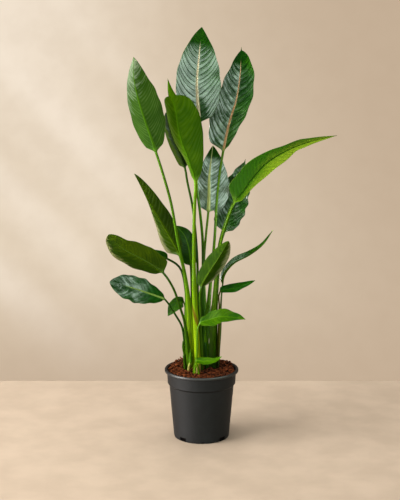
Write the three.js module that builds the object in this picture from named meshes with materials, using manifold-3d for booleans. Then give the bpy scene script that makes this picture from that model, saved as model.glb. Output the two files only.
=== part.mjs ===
// A young bird of paradise in a round nursery pot, in millimetres, +Z up.
// The origin is the centre of the pot's underside. The front of the plant faces -Y.
// Every leaf is one closed body with its stalk, and stands in a plain hole in the soil.
import * as THREE from 'three';
import { mergeVertices } from 'three/addons/utils/BufferGeometryUtils.js';
import Module from 'manifold-3d';

const wasm = await Module();
wasm.setup();

// ---------------------------------------------------------------- driving dimensions

const SEGMENTS = 40; // facets round the pot and round the soil
const GAP = 0.3; // between neighbours that touch on the real plant
const HOLE_GAP = 0.4; // between a stalk and the soil round it

const POT = {
  height: 200,
  rimRadius: 105,
  lipHeight: 9,
  collarTopRadius: 98, // outside, just under the lip
  collarFootRadius: 96.5,
  collarFootHeight: 158,
  shoulderRadius: 92, // outside, where the plain cone starts under the collar
  shoulderHeight: 154,
  coneFootRadius: 79,
  coneFootHeight: 5,
  wall: 2,
  floor: 3,
  discRadius: 46, // flat middle of the underside, which stands on the ground
  channelRise: 6, // the ring round the disc is raised, so that water runs to the notches
  footRingRadius: 72.5,
};
const NOTCH = { count: 4, firstAngle: 48, width: 20, height: 10, innerRadius: 66 };
const SLOT = { count: 4, firstAngle: 3, width: 8, height: 4, innerRadius: 68 };

const SOIL = { height: 193, heap: 7, bump: 1.6, rings: [0.92, 0.76, 0.6, 0.42, 0.22] };
const FOOT_HEIGHT = 155; // the stalks end here, inside the soil
const SURFACE_HEIGHT = 204; // above it a stalk is clear of the soil

const LEAF = {
  thickness: 0.9,
  tipHalf: 0.6,
  keelSlimming: 0.75, // share of the midrib's depth that is lost on the way to the tip
  sheathDepth: 0.5, // a sheath's depth over half its width
  stalkStep: 75,
};
const CURVE_STEPS = 60; // per piece of a leaf's curve, to measure along it
const BLADE_STATIONS = {
  large: [0, 0.03, 0.08, 0.15, 0.24, 0.34, 0.45, 0.57, 0.69, 0.8, 0.89, 0.96, 1],
  small: [0, 0.05, 0.14, 0.28, 0.45, 0.63, 0.8, 0.93, 1],
  sheath: [0, 0.15, 0.5, 0.8, 1],
};

const COLOUR = {
  pot: 0x2b2b2c,
  soil: 0x4a2a1c,
  deep: 0x1f5a2c,
  green: 0x3f7a1e,
  bright: 0x6fa022,
  olive: 0x3c5416,
};

// ---------------------------------------------------------------- the leaves
//
// foot    where the stalk stands, x and y
// stalk   points that the stalk passes on its way up
// blade   the midrib: the first point is where the blade starts and the last is its tip
// right   the half on the right of the upper face, seen with the tip up: its widest, and how fast
//         it widens from the base and narrows to the tip (both are powers); left is the other half
// tail    share of the blade's length that is a narrow drawn-out tip, and half its width
// turn    degrees that the upper face is turned from facing the front: at foot, blade base and tip
// fold    degrees that each half is raised from flat: at the base and the tip
// stem    half the stalk's width at its foot and under the blade, and the share of it that is sheath
// wave    height and number of the waves along each margin
const LEAVES = [
  {
    name: 'leaf_top', size: 'large', colour: 'deep', foot: [0, 20],
    stalk: [[4, 19, 306], [4, 17, 423], [3, 14, 564], [-4, 12, 643], [-13, 12, 722], [-11, 16, 819]],
    blade: [[-7, 22, 891], [-13, 28, 1000], [-6, 42, 1086], [1, 62, 1154]],
    right: [66, 0.65, 1], left: [58, 0.6, 0.85], tail: [0, 1],
    turn: [-20, 0, 0], fold: [14, 8], stem: [7, 3.4, 0.5], wave: [1.5, 3],
  },
  {
    name: 'leaf_upper_right', size: 'large', colour: 'deep', foot: [13, 8],
    stalk: [[13, 9, 280], [21, 11, 396], [36, 18, 564], [43, 30, 678], [50, 38, 747]],
    blade: [[60, 45, 811], [78, 52, 895], [96, 60, 954], [107, 74, 1023], [111, 96, 1099]],
    right: [44, 0.9, 0.6], left: [58, 0.45, 0.8], tail: [0.03, 1.5],
    turn: [-20, -8, 0], fold: [18, 8], stem: [7, 3.4, 0.5], wave: [2.5, 3],
  },
  {
    name: 'leaf_upper_left', size: 'large', colour: 'green', foot: [-27, 4],
    stalk: [
      [-29, -22, 289], [-34, -32, 373], [-43, -44, 466], [-65, -52, 576], [-83, -56, 682], [-105, -62, 765],
    ],
    blade: [[-122, -66, 820], [-153, -74, 912], [-170, -82, 971], [-179, -92, 1021], [-179, -106, 1076]],
    right: [51, 0.5, 1.1], left: [55, 0.7, 0.8], tail: [0, 1],
    turn: [175, 155, 155], fold: [26, 14], stem: [10, 3.4, 0.5], wave: [1, 3],
  },
  {
    name: 'leaf_upper_front', size: 'large', colour: 'bright', foot: [-11, -30],
    stalk: [[-15, -40, 290], [-19, -48, 406], [-21, -44, 520], [-20, -40, 630], [-18, -38, 688]],
    blade: [
      [-16, -38, 737], [-33, -41, 797], [-53, -46, 850], [-65, -54, 904], [-71, -60, 944],
      [-84, -72, 984], [-90, -80, 1019],
    ],
    right: [44, 1.2, 0.3], left: [64, 0.9, 0.5], tail: [0.17, 12],
    turn: [150, 160, 160], fold: [36, 30], stem: [7, 4.4, 0.7], wave: [1, 2],
  },
  {
    name: 'leaf_upper_rolled', size: 'large', colour: 'olive', foot: [-10, 44],
    stalk: [[-10, 36, 390], [-11, 32, 507], [-24, 26, 654], [-40, 22, 733]],
    blade: [[-46, 20, 769], [-65, 21, 819], [-83, 23, 860], [-93, 26, 896], [-97, 30, 923]],
    right: [22, 0.35, 0.5], left: [20, 0.35, 0.5], tail: [0, 1],
    turn: [90, 170, 170], fold: [30, 30], stem: [6, 3, 0.5], wave: [1, 2],
  },
  {
    name: 'leaf_mid_back', size: 'large', colour: 'deep', foot: [16, 27],
    stalk: [[11, 29, 304], [8, 33, 420], [7, 37, 506], [13, 45, 581]],
    blade: [[19, 54, 639], [21, 60, 685], [22, 64, 743], [32, 80, 826]],
    right: [57, 0.5, 0.85], left: [34, 0.5, 0.9], tail: [0, 1],
    turn: [-20, 12, 8], fold: [14, 8], stem: [7, 3.2, 0.6], wave: [2, 3],
  },
  {
    name: 'leaf_mid_right_back', size: 'large', colour: 'deep', foot: [34, 28],
    stalk: [[40, 38, 331], [48, 48, 460], [55, 56, 548]],
    blade: [[64, 62, 579], [84, 72, 638], [104, 84, 705], [125, 104, 785]],
    right: [41, 0.6, 0.9], left: [50, 0.5, 0.8], tail: [0.04, 2],
    turn: [-20, -10, 0], fold: [18, 10], stem: [7, 3, 0.6], wave: [4, 4],
  },
  {
    name: 'leaf_long_right', size: 'large', colour: 'bright', foot: [33, 4],
    stalk: [[32, 2, 295], [37, 4, 425], [49, 6, 554], [65, 4, 614]],
    blade: [
      [89, 0, 674], [116, -6, 707], [144, -12, 748], [179, -18, 787], [239, -20, 824], [296, -16, 845],
      [371, -6, 862],
    ],
    right: [36, 1.8, 1.2], left: [42, 0.25, 1], tail: [0.28, 14],
    turn: [-20, -36, -30], fold: [14, 24], stem: [8, 3.6, 0.6], wave: [1.5, 3],
  },
  {
    name: 'leaf_left_narrow', size: 'large', colour: 'olive', foot: [-39, 22],
    stalk: [[-40, -4, 297], [-42, -22, 403], [-48, -27, 476]],
    blade: [[-60, -27, 529], [-95, -34, 598], [-136, -46, 670], [-165, -58, 729], [-182, -68, 764]],
    right: [44, 0.5, 2.2], left: [32, 0.5, 0.7], tail: [0, 1],
    turn: [150, 185, 130], fold: [40, 36], stem: [8, 3.6, 0.8], wave: [1, 2],
  },
  {
    name: 'leaf_left_inner', size: 'small', colour: 'deep', foot: [-17, 16],
    stalk: [[-26, 2, 369]],
    blade: [[-30, -6, 497], [-36, -4, 548], [-48, 2, 583], [-72, 16, 607]],
    right: [24, 0.5, 0.7], left: [28, 0.5, 0.7], tail: [0, 1],
    turn: [40, 20, 20], fold: [14, 8], stem: [5, 3, 0.6], wave: [1, 2],
  },
  {
    name: 'leaf_left_broad', size: 'large', colour: 'olive', foot: [-37, -4],
    stalk: [[-40, -26, 271], [-47, -46, 346], [-60, -62, 394], [-77, -76, 448]],
    blade: [[-104, -84, 493], [-131, -88, 514], [-172, -96, 540], [-215, -104, 566], [-251, -110, 604]],
    right: [46, 0.6, 0.5], left: [40, 0.32, 0.6], tail: [0, 1],
    turn: [150, 160, 160], fold: [14, 10], stem: [6, 3, 0.6], wave: [1.5, 2],
  },
  {
    name: 'leaf_left_hidden', size: 'small', colour: 'olive', foot: [-30, 36],
    stalk: [[-41, 6, 338], [-41, -4, 399], [-59, -8, 492]],
    blade: [[-94, -8, 518], [-130, -12, 530], [-171, -20, 539]],
    right: [17, 0.5, 0.9], left: [17, 0.5, 0.9], tail: [0, 1],
    turn: [60, 60, 60], fold: [20, 10], stem: [5, 3, 0.5], wave: [1, 2],
  },
  {
    name: 'leaf_left_glossy', size: 'large', colour: 'deep', foot: [-45, 8],
    stalk: [[-48, -12, 285], [-55, -28, 330], [-70, -40, 361], [-85, -46, 387]],
    blade: [[-100, -50, 410], [-126, -53, 422], [-158, -60, 435], [-205, -74, 454], [-251, -92, 470]],
    right: [37, 0.9, 0.75], left: [44, 0.9, 0.65], tail: [0, 1],
    turn: [60, 40, 40], fold: [10, 4], stem: [4, 2.6, 0.5], wave: [3, 3],
  },
  {
    name: 'leaf_left_small', size: 'small', colour: 'green', foot: [-46, 36],
    stalk: [[-48, 12, 308]],
    blade: [[-50, 4, 391], [-66, -4, 390], [-82, -10, 377], [-95, -14, 355]],
    right: [17, 0.5, 1], left: [19, 0.5, 0.8], tail: [0, 1],
    turn: [60, 30, 30], fold: [15, 10], stem: [4, 2.2, 0.5], wave: [1, 2],
  },
  {
    name: 'leaf_front_folded', size: 'large', colour: 'olive', foot: [-1, -11],
    stalk: [[-3, -40, 350]],
    blade: [[-2, -58, 445], [18, -66, 487], [46, -78, 534], [73, -90, 583]],
    right: [27, 0.5, 0.7], left: [40, 0.6, 0.7], tail: [0, 1],
    turn: [170, 190, 190], fold: [35, 30], stem: [5, 3, 0.6], wave: [1, 2],
  },
  {
    name: 'leaf_right_narrow', size: 'large', colour: 'green', foot: [48, 32],
    stalk: [[51, 33, 287], [54, 33, 388]],
    blade: [[58, 34, 434], [66, 34, 466], [91, 36, 496], [137, 42, 520], [174, 52, 547], [203, 66, 587]],
    right: [20, 0.5, 0.9], left: [16, 0.5, 0.9], tail: [0, 1],
    turn: [-60, -80, -70], fold: [36, 26], stem: [5, 2.6, 0.5], wave: [1, 2],
  },
  {
    name: 'leaf_right_small', size: 'small', colour: 'green', foot: [46, 10],
    stalk: [[48, 12, 293], [49, 12, 375]],
    blade: [[51, 12, 418], [97, 18, 429], [152, 30, 448]],
    right: [17, 0.5, 0.9], left: [17, 0.5, 0.9], tail: [0, 1],
    turn: [-60, -60, -60], fold: [12, 8], stem: [4, 2.2, 0.5], wave: [1, 2],
  },
  {
    name: 'leaf_front_low', size: 'large', colour: 'green', foot: [-20, -44],
    stalk: [[-14, -52, 261]],
    blade: [[-7, -62, 344], [23, -70, 359], [56, -82, 370], [92, -92, 370], [120, -100, 367]],
    right: [28, 0.8, 1.3], left: [24, 0.8, 0.9], tail: [0, 1],
    turn: [-60, -50, -50], fold: [15, 10], stem: [4.5, 2.6, 0.5], wave: [1, 2],
  },
  {
    name: 'leaf_soil_low', size: 'small', colour: 'bright', foot: [-9, -50],
    stalk: [[-13, -63, 223]],
    blade: [[-17, -73, 241], [7, -79, 242], [32, -82, 244], [56, -84, 257]],
    right: [14, 0.5, 0.9], left: [12, 0.5, 0.9], tail: [0, 1],
    turn: [-60, -60, -60], fold: [15, 10], stem: [3, 2.2, 0.5], wave: [1, 2],
  },
  {
    name: 'sheath_left', size: 'sheath', colour: 'bright', foot: [-46, -3],
    stalk: [], blade: [[-49, -9, 239], [-53, -13, 263], [-53, -15, 283]],
    right: [4, 0.3, 0.6], left: [4, 0.3, 0.6], tail: [0, 1],
    turn: [150, 150, 150], fold: [40, 40], stem: [3.6, 3.6, 0.5], wave: [0, 1],
  },
  {
    name: 'sheath_front', size: 'sheath', colour: 'bright', foot: [-36, -22],
    stalk: [], blade: [[-32, -26, 222], [-31, -29, 243], [-31, -32, 264]],
    right: [4, 0.3, 0.6], left: [4, 0.3, 0.6], tail: [0, 1],
    turn: [175, 175, 175], fold: [40, 40], stem: [5, 4, 0.5], wave: [0, 1],
  },
  {
    name: 'sheath_mid', size: 'sheath', colour: 'bright', foot: [14, -7],
    stalk: [[12, -8, 255]], blade: [[11, -9, 276], [11, -9, 299], [10, -8, 322]],
    right: [3, 0.3, 0.6], left: [3, 0.3, 0.6], tail: [0, 1],
    turn: [175, 175, 175], fold: [40, 40], stem: [5, 3.6, 0.5], wave: [0, 1],
  },
  {
    name: 'sheath_back', size: 'sheath', colour: 'deep', foot: [25, 17],
    stalk: [[25, 17, 248]], blade: [[26, 17, 278], [27, 19, 322], [28, 21, 377]],
    right: [4, 0.3, 0.6], left: [4, 0.3, 0.6], tail: [0, 1],
    turn: [-10, -10, -10], fold: [40, 40], stem: [5, 4, 0.5], wave: [0, 1],
  },
];

// ---------------------------------------------------------------- small helpers

/** A closed geometry as a manifold solid: shared corners merged and empty triangles dropped. */
function toSolid(geometry) {
  const bare = geometry.clone();
  bare.deleteAttribute('normal');
  bare.deleteAttribute('uv');
  const merged = mergeVertices(bare, 1e-3);
  const corners = merged.index.array;
  const kept = [];
  for (let i = 0; i < corners.length; i += 3) {
    const [a, b, c] = corners.slice(i, i + 3);
    if (a !== b && b !== c && c !== a) kept.push(a, b, c);
  }
  const mesh = new wasm.Mesh({
    numProp: 3,
    vertProperties: merged.attributes.position.array,
    triVerts: new Uint32Array(kept),
  });
  return new wasm.Manifold(mesh);
}

/** A manifold solid as a geometry with flat facets. */
function toGeometry(solid) {
  const { vertProperties, triVerts } = solid.getMesh();
  const geometry = new THREE.BufferGeometry();
  geometry.setAttribute('position', new THREE.BufferAttribute(new Float32Array(vertProperties), 3));
  geometry.setIndex(new THREE.BufferAttribute(new Uint32Array(triVerts), 1));
  geometry.computeVertexNormals();
  return geometry;
}

/**
 * A closed body through rings of points that all have the same count, with a fan to a middle point
 * at each end. Quads split one way, and the other way where under(j) says so.
 */
function loft(rings, firstMiddle, lastMiddle, under = () => false) {
  const count = rings[0].length;
  const points = [...rings.flat(), firstMiddle, lastMiddle];
  const faces = [];
  for (let i = 0; i + 1 < rings.length; i++) {
    for (let j = 0; j < count; j++) {
      const next = (j + 1) % count;
      const [a, b] = [i * count + j, i * count + next];
      const [c, d] = [a + count, b + count];
      if (under(j)) faces.push(a, c, b, c, d, b);
      else faces.push(a, c, d, a, d, b);
    }
  }
  const first = points.length - 2;
  const lastRing = (rings.length - 1) * count;
  for (let j = 0; j < count; j++) {
    const next = (j + 1) % count;
    faces.push(first, j, next);
    faces.push(first + 1, lastRing + next, lastRing + j);
  }
  const geometry = new THREE.BufferGeometry().setFromPoints(points);
  geometry.setIndex(faces);
  geometry.computeVertexNormals();
  return geometry;
}

const lerp = THREE.MathUtils.lerp;
const radians = THREE.MathUtils.degToRad;

/** Height of the soil's surface, heaped at the back left and right of the rim and round the clump. */
function soilHeight(x, y) {
  const heapLeft = Math.exp(-((x + 60) ** 2 + (y - 62) ** 2) / 1500);
  const heapRight = Math.exp(-((x - 74) ** 2 + (y - 44) ** 2) / 1200);
  const mound = Math.exp(-(((x / 52) ** 2 + ((y - 14) / 42) ** 2) ** 2));
  const bumps = Math.sin(x / 7.3 + 1) * Math.sin(y / 6.1) + 0.6 * Math.sin(x / 3.9 - y / 4.7);
  return SOIL.height + SOIL.heap * Math.max(heapLeft, heapRight, mound) + SOIL.bump * bumps;
}

// ---------------------------------------------------------------- pot

/** Radius of the pot's inside wall at a height. */
function insideRadius(z) {
  const cone = (z - POT.coneFootHeight) / (POT.shoulderHeight - POT.coneFootHeight);
  if (cone <= 1) return lerp(POT.coneFootRadius, POT.shoulderRadius, cone) - POT.wall;
  const collar = (z - POT.collarFootHeight) / (POT.height - POT.lipHeight - POT.collarFootHeight);
  return lerp(POT.collarFootRadius, POT.collarTopRadius, Math.max(0, collar)) - POT.wall;
}

/** Box cutters spread round the pot's foot, which open its wall to the raised channel. */
function footCutters({ count, firstAngle, width, height, innerRadius }) {
  const depth = POT.shoulderRadius - innerRadius;
  const solids = [];
  for (let i = 0; i < count; i++) {
    const box = new THREE.BoxGeometry(width, depth, 2 * height);
    box.translate(0, -(innerRadius + depth / 2), 0);
    box.rotateZ(radians(firstAngle + (360 / count) * i));
    solids.push(toSolid(box));
  }
  return solids;
}

function makePot() {
  const lipFoot = POT.height - POT.lipHeight;
  const channelTop = POT.channelRise + POT.floor;
  const outline = [
    [0, 0], [POT.discRadius, 0], [POT.discRadius + 2, POT.channelRise],
    [POT.footRingRadius - 2, POT.channelRise], [POT.footRingRadius, 0],
    [POT.coneFootRadius - 2.6, 0], [POT.coneFootRadius - 0.7, 1.2], [POT.coneFootRadius, POT.coneFootHeight],
    [POT.shoulderRadius, POT.shoulderHeight], [POT.collarFootRadius, POT.collarFootHeight],
    [POT.collarTopRadius, lipFoot],
    [POT.rimRadius - 1.4, lipFoot + 0.3], [POT.rimRadius, lipFoot + 1.8],
    [POT.rimRadius, POT.height - 2.4], [POT.rimRadius - 1.5, POT.height - 0.4], [POT.rimRadius - 3.4, POT.height],
    [POT.rimRadius - 6, POT.height - 0.6], [POT.rimRadius - 8, POT.height - 3],
    [insideRadius(lipFoot), lipFoot], [insideRadius(POT.collarFootHeight), POT.collarFootHeight + 0.5],
    [insideRadius(POT.shoulderHeight), POT.shoulderHeight + 0.5], [insideRadius(channelTop), channelTop],
    [POT.discRadius + 0.5, channelTop], [POT.discRadius - 1.5, POT.floor], [0, POT.floor],
  ];
  const turned = new THREE.LatheGeometry(outline.map(([r, z]) => new THREE.Vector2(r, z)), SEGMENTS);
  turned.rotateX(Math.PI / 2);
  let solid = toSolid(turned);
  for (const cutter of [...footCutters(NOTCH), ...footCutters(SLOT)]) solid = solid.subtract(cutter);
  return toGeometry(solid);
}

// ---------------------------------------------------------------- leaves

/** Half the blade's width at s, from 0 at its base to 1 at its tip. */
function bladeHalf([widest, rise, fall], [tailShare, tailHalf], s) {
  const body = Math.min(1, s / (1 - tailShare));
  const peak = rise / (rise + fall);
  const share = (body ** rise * (1 - body) ** fall) / (peak ** rise * (1 - peak) ** fall);
  const tail = tailHalf * Math.min(1, (1 - s) / Math.max(tailShare, 0.01));
  return Math.max(widest * share, tail, LEAF.tipHalf);
}

/** Section of a stalk as [across, up] pairs: a channel on top, which a sheath's edges stand round. */
function stalkSection(half, depth, cup) {
  const groove = 0.3 * depth;
  return [
    [half, cup], [0.55 * half, 0.2 * cup - 0.5 * groove], [0, -groove],
    [-0.55 * half, 0.2 * cup - 0.5 * groove], [-half, cup],
    [-half - 0.3, cup - 0.25 * depth], [-0.84 * half, -0.5 * depth], [-0.4 * half, -0.9 * depth], [0, -depth],
    [0.4 * half, -0.9 * depth], [0.84 * half, -0.5 * depth], [half + 0.3, cup - 0.25 * depth],
  ];
}

/** Section of a blade: two halves raised from the midrib, which stands out as a keel underneath. */
function bladeSection(leaf, s, stemHalf) {
  const fold = radians(lerp(leaf.fold[0], leaf.fold[1], s));
  const [height, waves] = leaf.wave;
  const keel = stemHalf * (1 - LEAF.keelSlimming * s) * (1 - s ** 4);
  const place = (u, drop) => {
    const side = u > 0 ? 0 : 1;
    const half = stemHalf * (1 - s) + bladeHalf(u > 0 ? leaf.right : leaf.left, leaf.tail, s);
    const ripple = height * u * u * Math.sin(2 * Math.PI * waves * s + 2 * side) * Math.sin(Math.PI * s);
    return [u * half * Math.cos(fold), Math.abs(u) * half * Math.sin(fold) + ripple - drop];
  };
  const t = LEAF.thickness;
  const rib = Math.max(0.3, 0.6 * keel);
  return [
    place(1, 0), place(0.5, 0), [0, 0], place(-0.5, 0), place(-1, 0),
    place(-1, t), place(-0.5, t), [-rib, -t - 0.6 * keel], [0, -t - keel], [rib, -t - 0.6 * keel],
    place(0.5, t), place(1, t),
  ];
}

/** A section with every edge moved outwards by the same distance. */
function grown(section, distance) {
  const count = section.length;
  return section.map(([x, z], k) => {
    const [ax, az] = section[(k + count - 1) % count];
    const [bx, bz] = section[(k + 1) % count];
    const before = new THREE.Vector2(z - az, ax - x).normalize();
    const after = new THREE.Vector2(bz - z, x - bx).normalize();
    const out = before.clone().add(after).normalize();
    const reach = distance / Math.max(0.5, out.dot(before));
    return [x + reach * out.x, z + reach * out.y];
  });
}

const UNDERSIDE = (j) => j > 4; // ring edges 5 to 11 are under the leaf, or its right margin

/** Rings along one leaf, from its foot to its tip, or only along the stalk, grown, for its hole. */
function leafRings(leaf, grow = 0, stalkOnly = false) {
  const [fx, fy] = leaf.foot;
  const points = [[fx, fy, FOOT_HEIGHT - grow], [fx, fy, SURFACE_HEIGHT], ...leaf.stalk, ...leaf.blade];
  const curve = new THREE.CatmullRomCurve3(points.map((p) => new THREE.Vector3(...p)));
  const pieces = points.length - 1;
  curve.arcLengthDivisions = CURVE_STEPS * pieces;
  const lengths = curve.getLengths();
  const whole = lengths.at(-1);
  const surface = lengths[CURVE_STEPS];
  const bladeStart = lengths[CURVE_STEPS * (2 + leaf.stalk.length)];
  const stations = [{ along: 0, s: 0 }];
  const stalkCount = Math.max(2, Math.round((bladeStart - surface) / LEAF.stalkStep));
  for (let i = 0; i < stalkCount; i++) {
    stations.push({ along: lerp(surface, bladeStart, i / stalkCount), s: 0 });
  }
  for (const s of BLADE_STATIONS[leaf.size]) stations.push({ along: lerp(bladeStart, whole, s), s });
  const used = stalkOnly ? stations.slice(0, stalkCount + 1) : stations;
  return used.map(({ along, s }) => {
    const u = Math.min(1, along / whole);
    const t = Math.min(1, along / bladeStart);
    const centre = curve.getPointAt(u);
    const forward = curve.getTangentAt(u);
    const front = new THREE.Vector3(0, -1, 0);
    front.addScaledVector(forward, -front.dot(forward)).normalize();
    const [turnFoot, turnBase, turnTip] = leaf.turn;
    const turn = s > 0 ? lerp(turnBase, turnTip, s) : lerp(turnFoot, turnBase, t);
    const up = front.applyAxisAngle(forward, radians(turn));
    const across = new THREE.Vector3().crossVectors(forward, up);
    const [footHalf, topHalf, sheath] = leaf.stem;
    const open = 1 - THREE.MathUtils.smoothstep(t, 0.35 * sheath, sheath); // 1 in the sheath, 0 above it
    const half = lerp(lerp(1.35 * topHalf, topHalf, t), footHalf, open);
    const depth = lerp(1.6 * half, LEAF.sheathDepth * footHalf, open);
    const stalk = stalkSection(half, depth, open * 0.3 * footHalf);
    const blade = bladeSection(leaf, s, topHalf);
    const blend = Math.min(1, s / 0.06);
    const section = stalk.map(([a, b], k) => [lerp(a, blade[k][0], blend), lerp(b, blade[k][1], blend)]);
    const sized = grow ? grown(section, grow) : section;
    return sized.map(([x, z]) => centre.clone().addScaledVector(across, x).addScaledVector(up, z));
  });
}

/** Middle of a ring's groove and its deepest underside point, which a closing fan can reach. */
function ringMiddle(ring) {
  return ring[2].clone().add(ring[8]).multiplyScalar(0.5);
}

function makeLeaf(leaf) {
  const rings = leafRings(leaf);
  return loft(rings, ringMiddle(rings[0]), ringMiddle(rings.at(-1)), UNDERSIDE);
}

// ---------------------------------------------------------------- soil

function makeSoil() {
  const floorTop = POT.floor + GAP;
  const channelTop = POT.channelRise + POT.floor + GAP;
  const wallRing = (z, height = () => z) => circle(insideRadius(z) - GAP, height);
  const rings = [
    circle(POT.discRadius - 2.5, () => floorTop),
    circle(POT.discRadius - 0.5, () => channelTop),
    wallRing(channelTop),
    circle(insideRadius(POT.shoulderHeight) - GAP, () => POT.shoulderHeight + 1.5),
    wallRing(POT.collarFootHeight + 4),
    wallRing(SOIL.height - 3, () => SOIL.height - 2),
    ...SOIL.rings.map((share) => circle(share * insideRadius(SOIL.height), soilHeight)),
  ];
  const bottom = new THREE.Vector3(0, 0, floorTop);
  const top = new THREE.Vector3(0, 0, soilHeight(0, 0));
  let solid = toSolid(loft(rings, bottom, top));
  for (const leaf of LEAVES) {
    const hole = leafRings(leaf, HOLE_GAP, true);
    solid = solid.subtract(toSolid(loft(hole, ringMiddle(hole[0]), ringMiddle(hole.at(-1)), UNDERSIDE)));
  }
  return toGeometry(solid);
}

/** A ring of points round the pot's axis, which line up with the pot's facets. */
function circle(radius, height) {
  const ring = [];
  for (let j = 0; j < SEGMENTS; j++) {
    const angle = (-2 * Math.PI * j) / SEGMENTS;
    const [x, y] = [radius * Math.cos(angle), radius * Math.sin(angle)];
    ring.push(new THREE.Vector3(x, y, height(x, y)));
  }
  return ring;
}

// ---------------------------------------------------------------- assembly

function named(name, geometry, colour, roughness) {
  const material = new THREE.MeshStandardMaterial({ color: COLOUR[colour], roughness, metalness: 0 });
  const mesh = new THREE.Mesh(geometry, material);
  mesh.name = name;
  return mesh;
}

const plant = new THREE.Group();
plant.add(named('pot', makePot(), 'pot', 0.6));
plant.add(named('soil', makeSoil(), 'soil', 0.95));
for (const leaf of LEAVES) plant.add(named(leaf.name, makeLeaf(leaf), leaf.colour, 0.4));

export default plant;
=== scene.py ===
# %% [markdown]
# # A potted bird of paradise
#
# A young Strelitzia stands in a black nursery pot. Long stalks rise from one clump, and each ends in a
# broad blade with a strong midrib. The imported model already has every leaf, the pot and the soil as plain
# solids in their right places. This lesson loads that model and builds a finer surface over each solid:
# leaves with veins, a turned pot, and soil made of coir chips.

# %% Load the imported model and keep each solid where it stands
import math
from types import SimpleNamespace

import bpy
import numpy as np
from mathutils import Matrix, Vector


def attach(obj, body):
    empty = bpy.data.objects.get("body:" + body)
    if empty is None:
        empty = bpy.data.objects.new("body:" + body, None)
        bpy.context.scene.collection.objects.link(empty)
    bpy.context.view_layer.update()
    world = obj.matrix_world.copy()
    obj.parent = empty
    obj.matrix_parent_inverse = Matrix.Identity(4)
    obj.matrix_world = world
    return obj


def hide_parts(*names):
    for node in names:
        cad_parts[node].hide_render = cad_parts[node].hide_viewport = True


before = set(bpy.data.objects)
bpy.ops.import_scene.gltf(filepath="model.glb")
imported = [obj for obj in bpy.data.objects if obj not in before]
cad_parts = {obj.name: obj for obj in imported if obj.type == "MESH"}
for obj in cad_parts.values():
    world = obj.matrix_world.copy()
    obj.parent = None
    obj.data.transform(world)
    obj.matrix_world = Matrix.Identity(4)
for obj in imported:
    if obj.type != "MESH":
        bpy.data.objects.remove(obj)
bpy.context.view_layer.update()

# %% [markdown]
# ## The camera
#
# The picture was taken from a little over three metres away, at the height of the upper leaves, and looks
# slightly down. A long lens from far away keeps the pot's ellipse narrow. The other choice, a camera close
# by with a short lens, would show more of the soil and would make the front leaves too large.

# %% Camera
CAMERA_PLACE = (-0.0044, -3.242, 1.148)
CAMERA_PITCH = 10.6  # degrees below level
FRAME_HEIGHT = 36  # millimetres of film
FOCAL_LENGTH = 84.96  # millimetres, for that height

camera = bpy.data.objects.new("camera", bpy.data.cameras.new("camera"))
camera.data.sensor_fit = "VERTICAL"
camera.data.sensor_height = FRAME_HEIGHT
camera.data.lens = FOCAL_LENGTH
camera.location = CAMERA_PLACE
camera.rotation_euler = (math.radians(90 - CAMERA_PITCH), 0, 0)
bpy.context.scene.collection.objects.link(camera)
bpy.context.scene.camera = camera
print("camera looks down by", CAMERA_PITCH, "degrees")

# %% [markdown]
# ## The floor
#
# The plant stands on a pale plaster floor, in front of a pale warm wall. The floor here is one slab that
# ends where the wall begins in the picture. A floor that curves up into a wall would be the other choice,
# but it would hide the plant from behind.

# %% Floor
MM = 0.001  # Blender works in metres, and the sizes here are in millimetres
FLOOR_REACH = 6000  # to the left, to the right and to the front
FLOOR_EDGE = 530  # behind the plant


def new_piece(name, points, faces, smooth_faces=True):
    """A new object from an array of points (n, 3) in millimetres and a list of faces."""
    mesh = bpy.data.meshes.new(name)
    mesh.from_pydata(points * MM, [], faces)
    mesh.polygons.foreach_set("use_smooth", np.full(len(mesh.polygons), smooth_faces))
    mesh.update()
    piece = bpy.data.objects.new(name, mesh)
    bpy.context.scene.collection.objects.link(piece)
    return piece


floor_corners = np.array([
    [-FLOOR_REACH, -FLOOR_REACH, 0], [FLOOR_REACH, -FLOOR_REACH, 0],
    [FLOOR_REACH, FLOOR_EDGE, 0], [-FLOOR_REACH, FLOOR_EDGE, 0],
])
floor = new_piece("floor", floor_corners, [[0, 1, 2, 3]], smooth_faces=False)
print("floor ends", FLOOR_EDGE, "mm behind the plant")

# %% [markdown]
# ## Soft light
#
# A large lamp at the left and a weaker one overhead light the plant softly. Three more lamps are only seen
# mirrored, as far windows are in glossy leaves: they draw the pale bands on the blades and leave the matt
# tones alone. One strong lamp could do both, but then the bands and the tones could not be set apart.

# %% Lamps
LIGHTS = {
    # name: place, aim, width, height, watts, colour, whether it lights matt surfaces too
    "key": ((-3.4, -1.3, 1.9), (0, 0, 0.5), 3.2, 3.0, 212, (1.0, 0.96, 0.90), True),
    "sky": ((-0.3, 0.2, 3.7), (0, 0, 0), 3.4, 3.4, 104, (1.0, 0.98, 0.96), True),
    "window": ((0.0, -4.3, 1.58), (0, 0, 1.58), 5.4, 3.1, 275, (0.82, 1.0, 0.88), False),
    "low_window": ((-2.6, -1.0, 0.45), (0, 0, 0.15), 1.8, 1.0, 290, (1.0, 0.98, 0.95), False),
    "side_window": ((3.1, -1.8, 2.9), (0, 0, 0.9), 4.4, 4.0, 300, (0.82, 1.0, 0.88), False),
}


def add_softbox(name, place, aim, width, height, watts, colour, matt):
    """A rectangular lamp at a place, turned so that its light goes towards the aim. If it doesn't light matt
    surfaces, it is only seen mirrored."""
    lamp = bpy.data.lights.new(name, "AREA")
    lamp.shape = "RECTANGLE"
    lamp.size, lamp.size_y = width, height
    lamp.energy, lamp.color = watts, colour
    box = bpy.data.objects.new(name, lamp)
    box.location = place
    box.rotation_euler = (Vector(aim) - Vector(place)).to_track_quat("-Z", "Y").to_euler()
    box.visible_diffuse = box.visible_transmission = matt
    bpy.context.scene.collection.objects.link(box)


for name, values in LIGHTS.items():
    add_softbox(name, *values)
bpy.context.scene.view_settings.view_transform = "Standard"
print("lights", list(LIGHTS))

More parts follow.
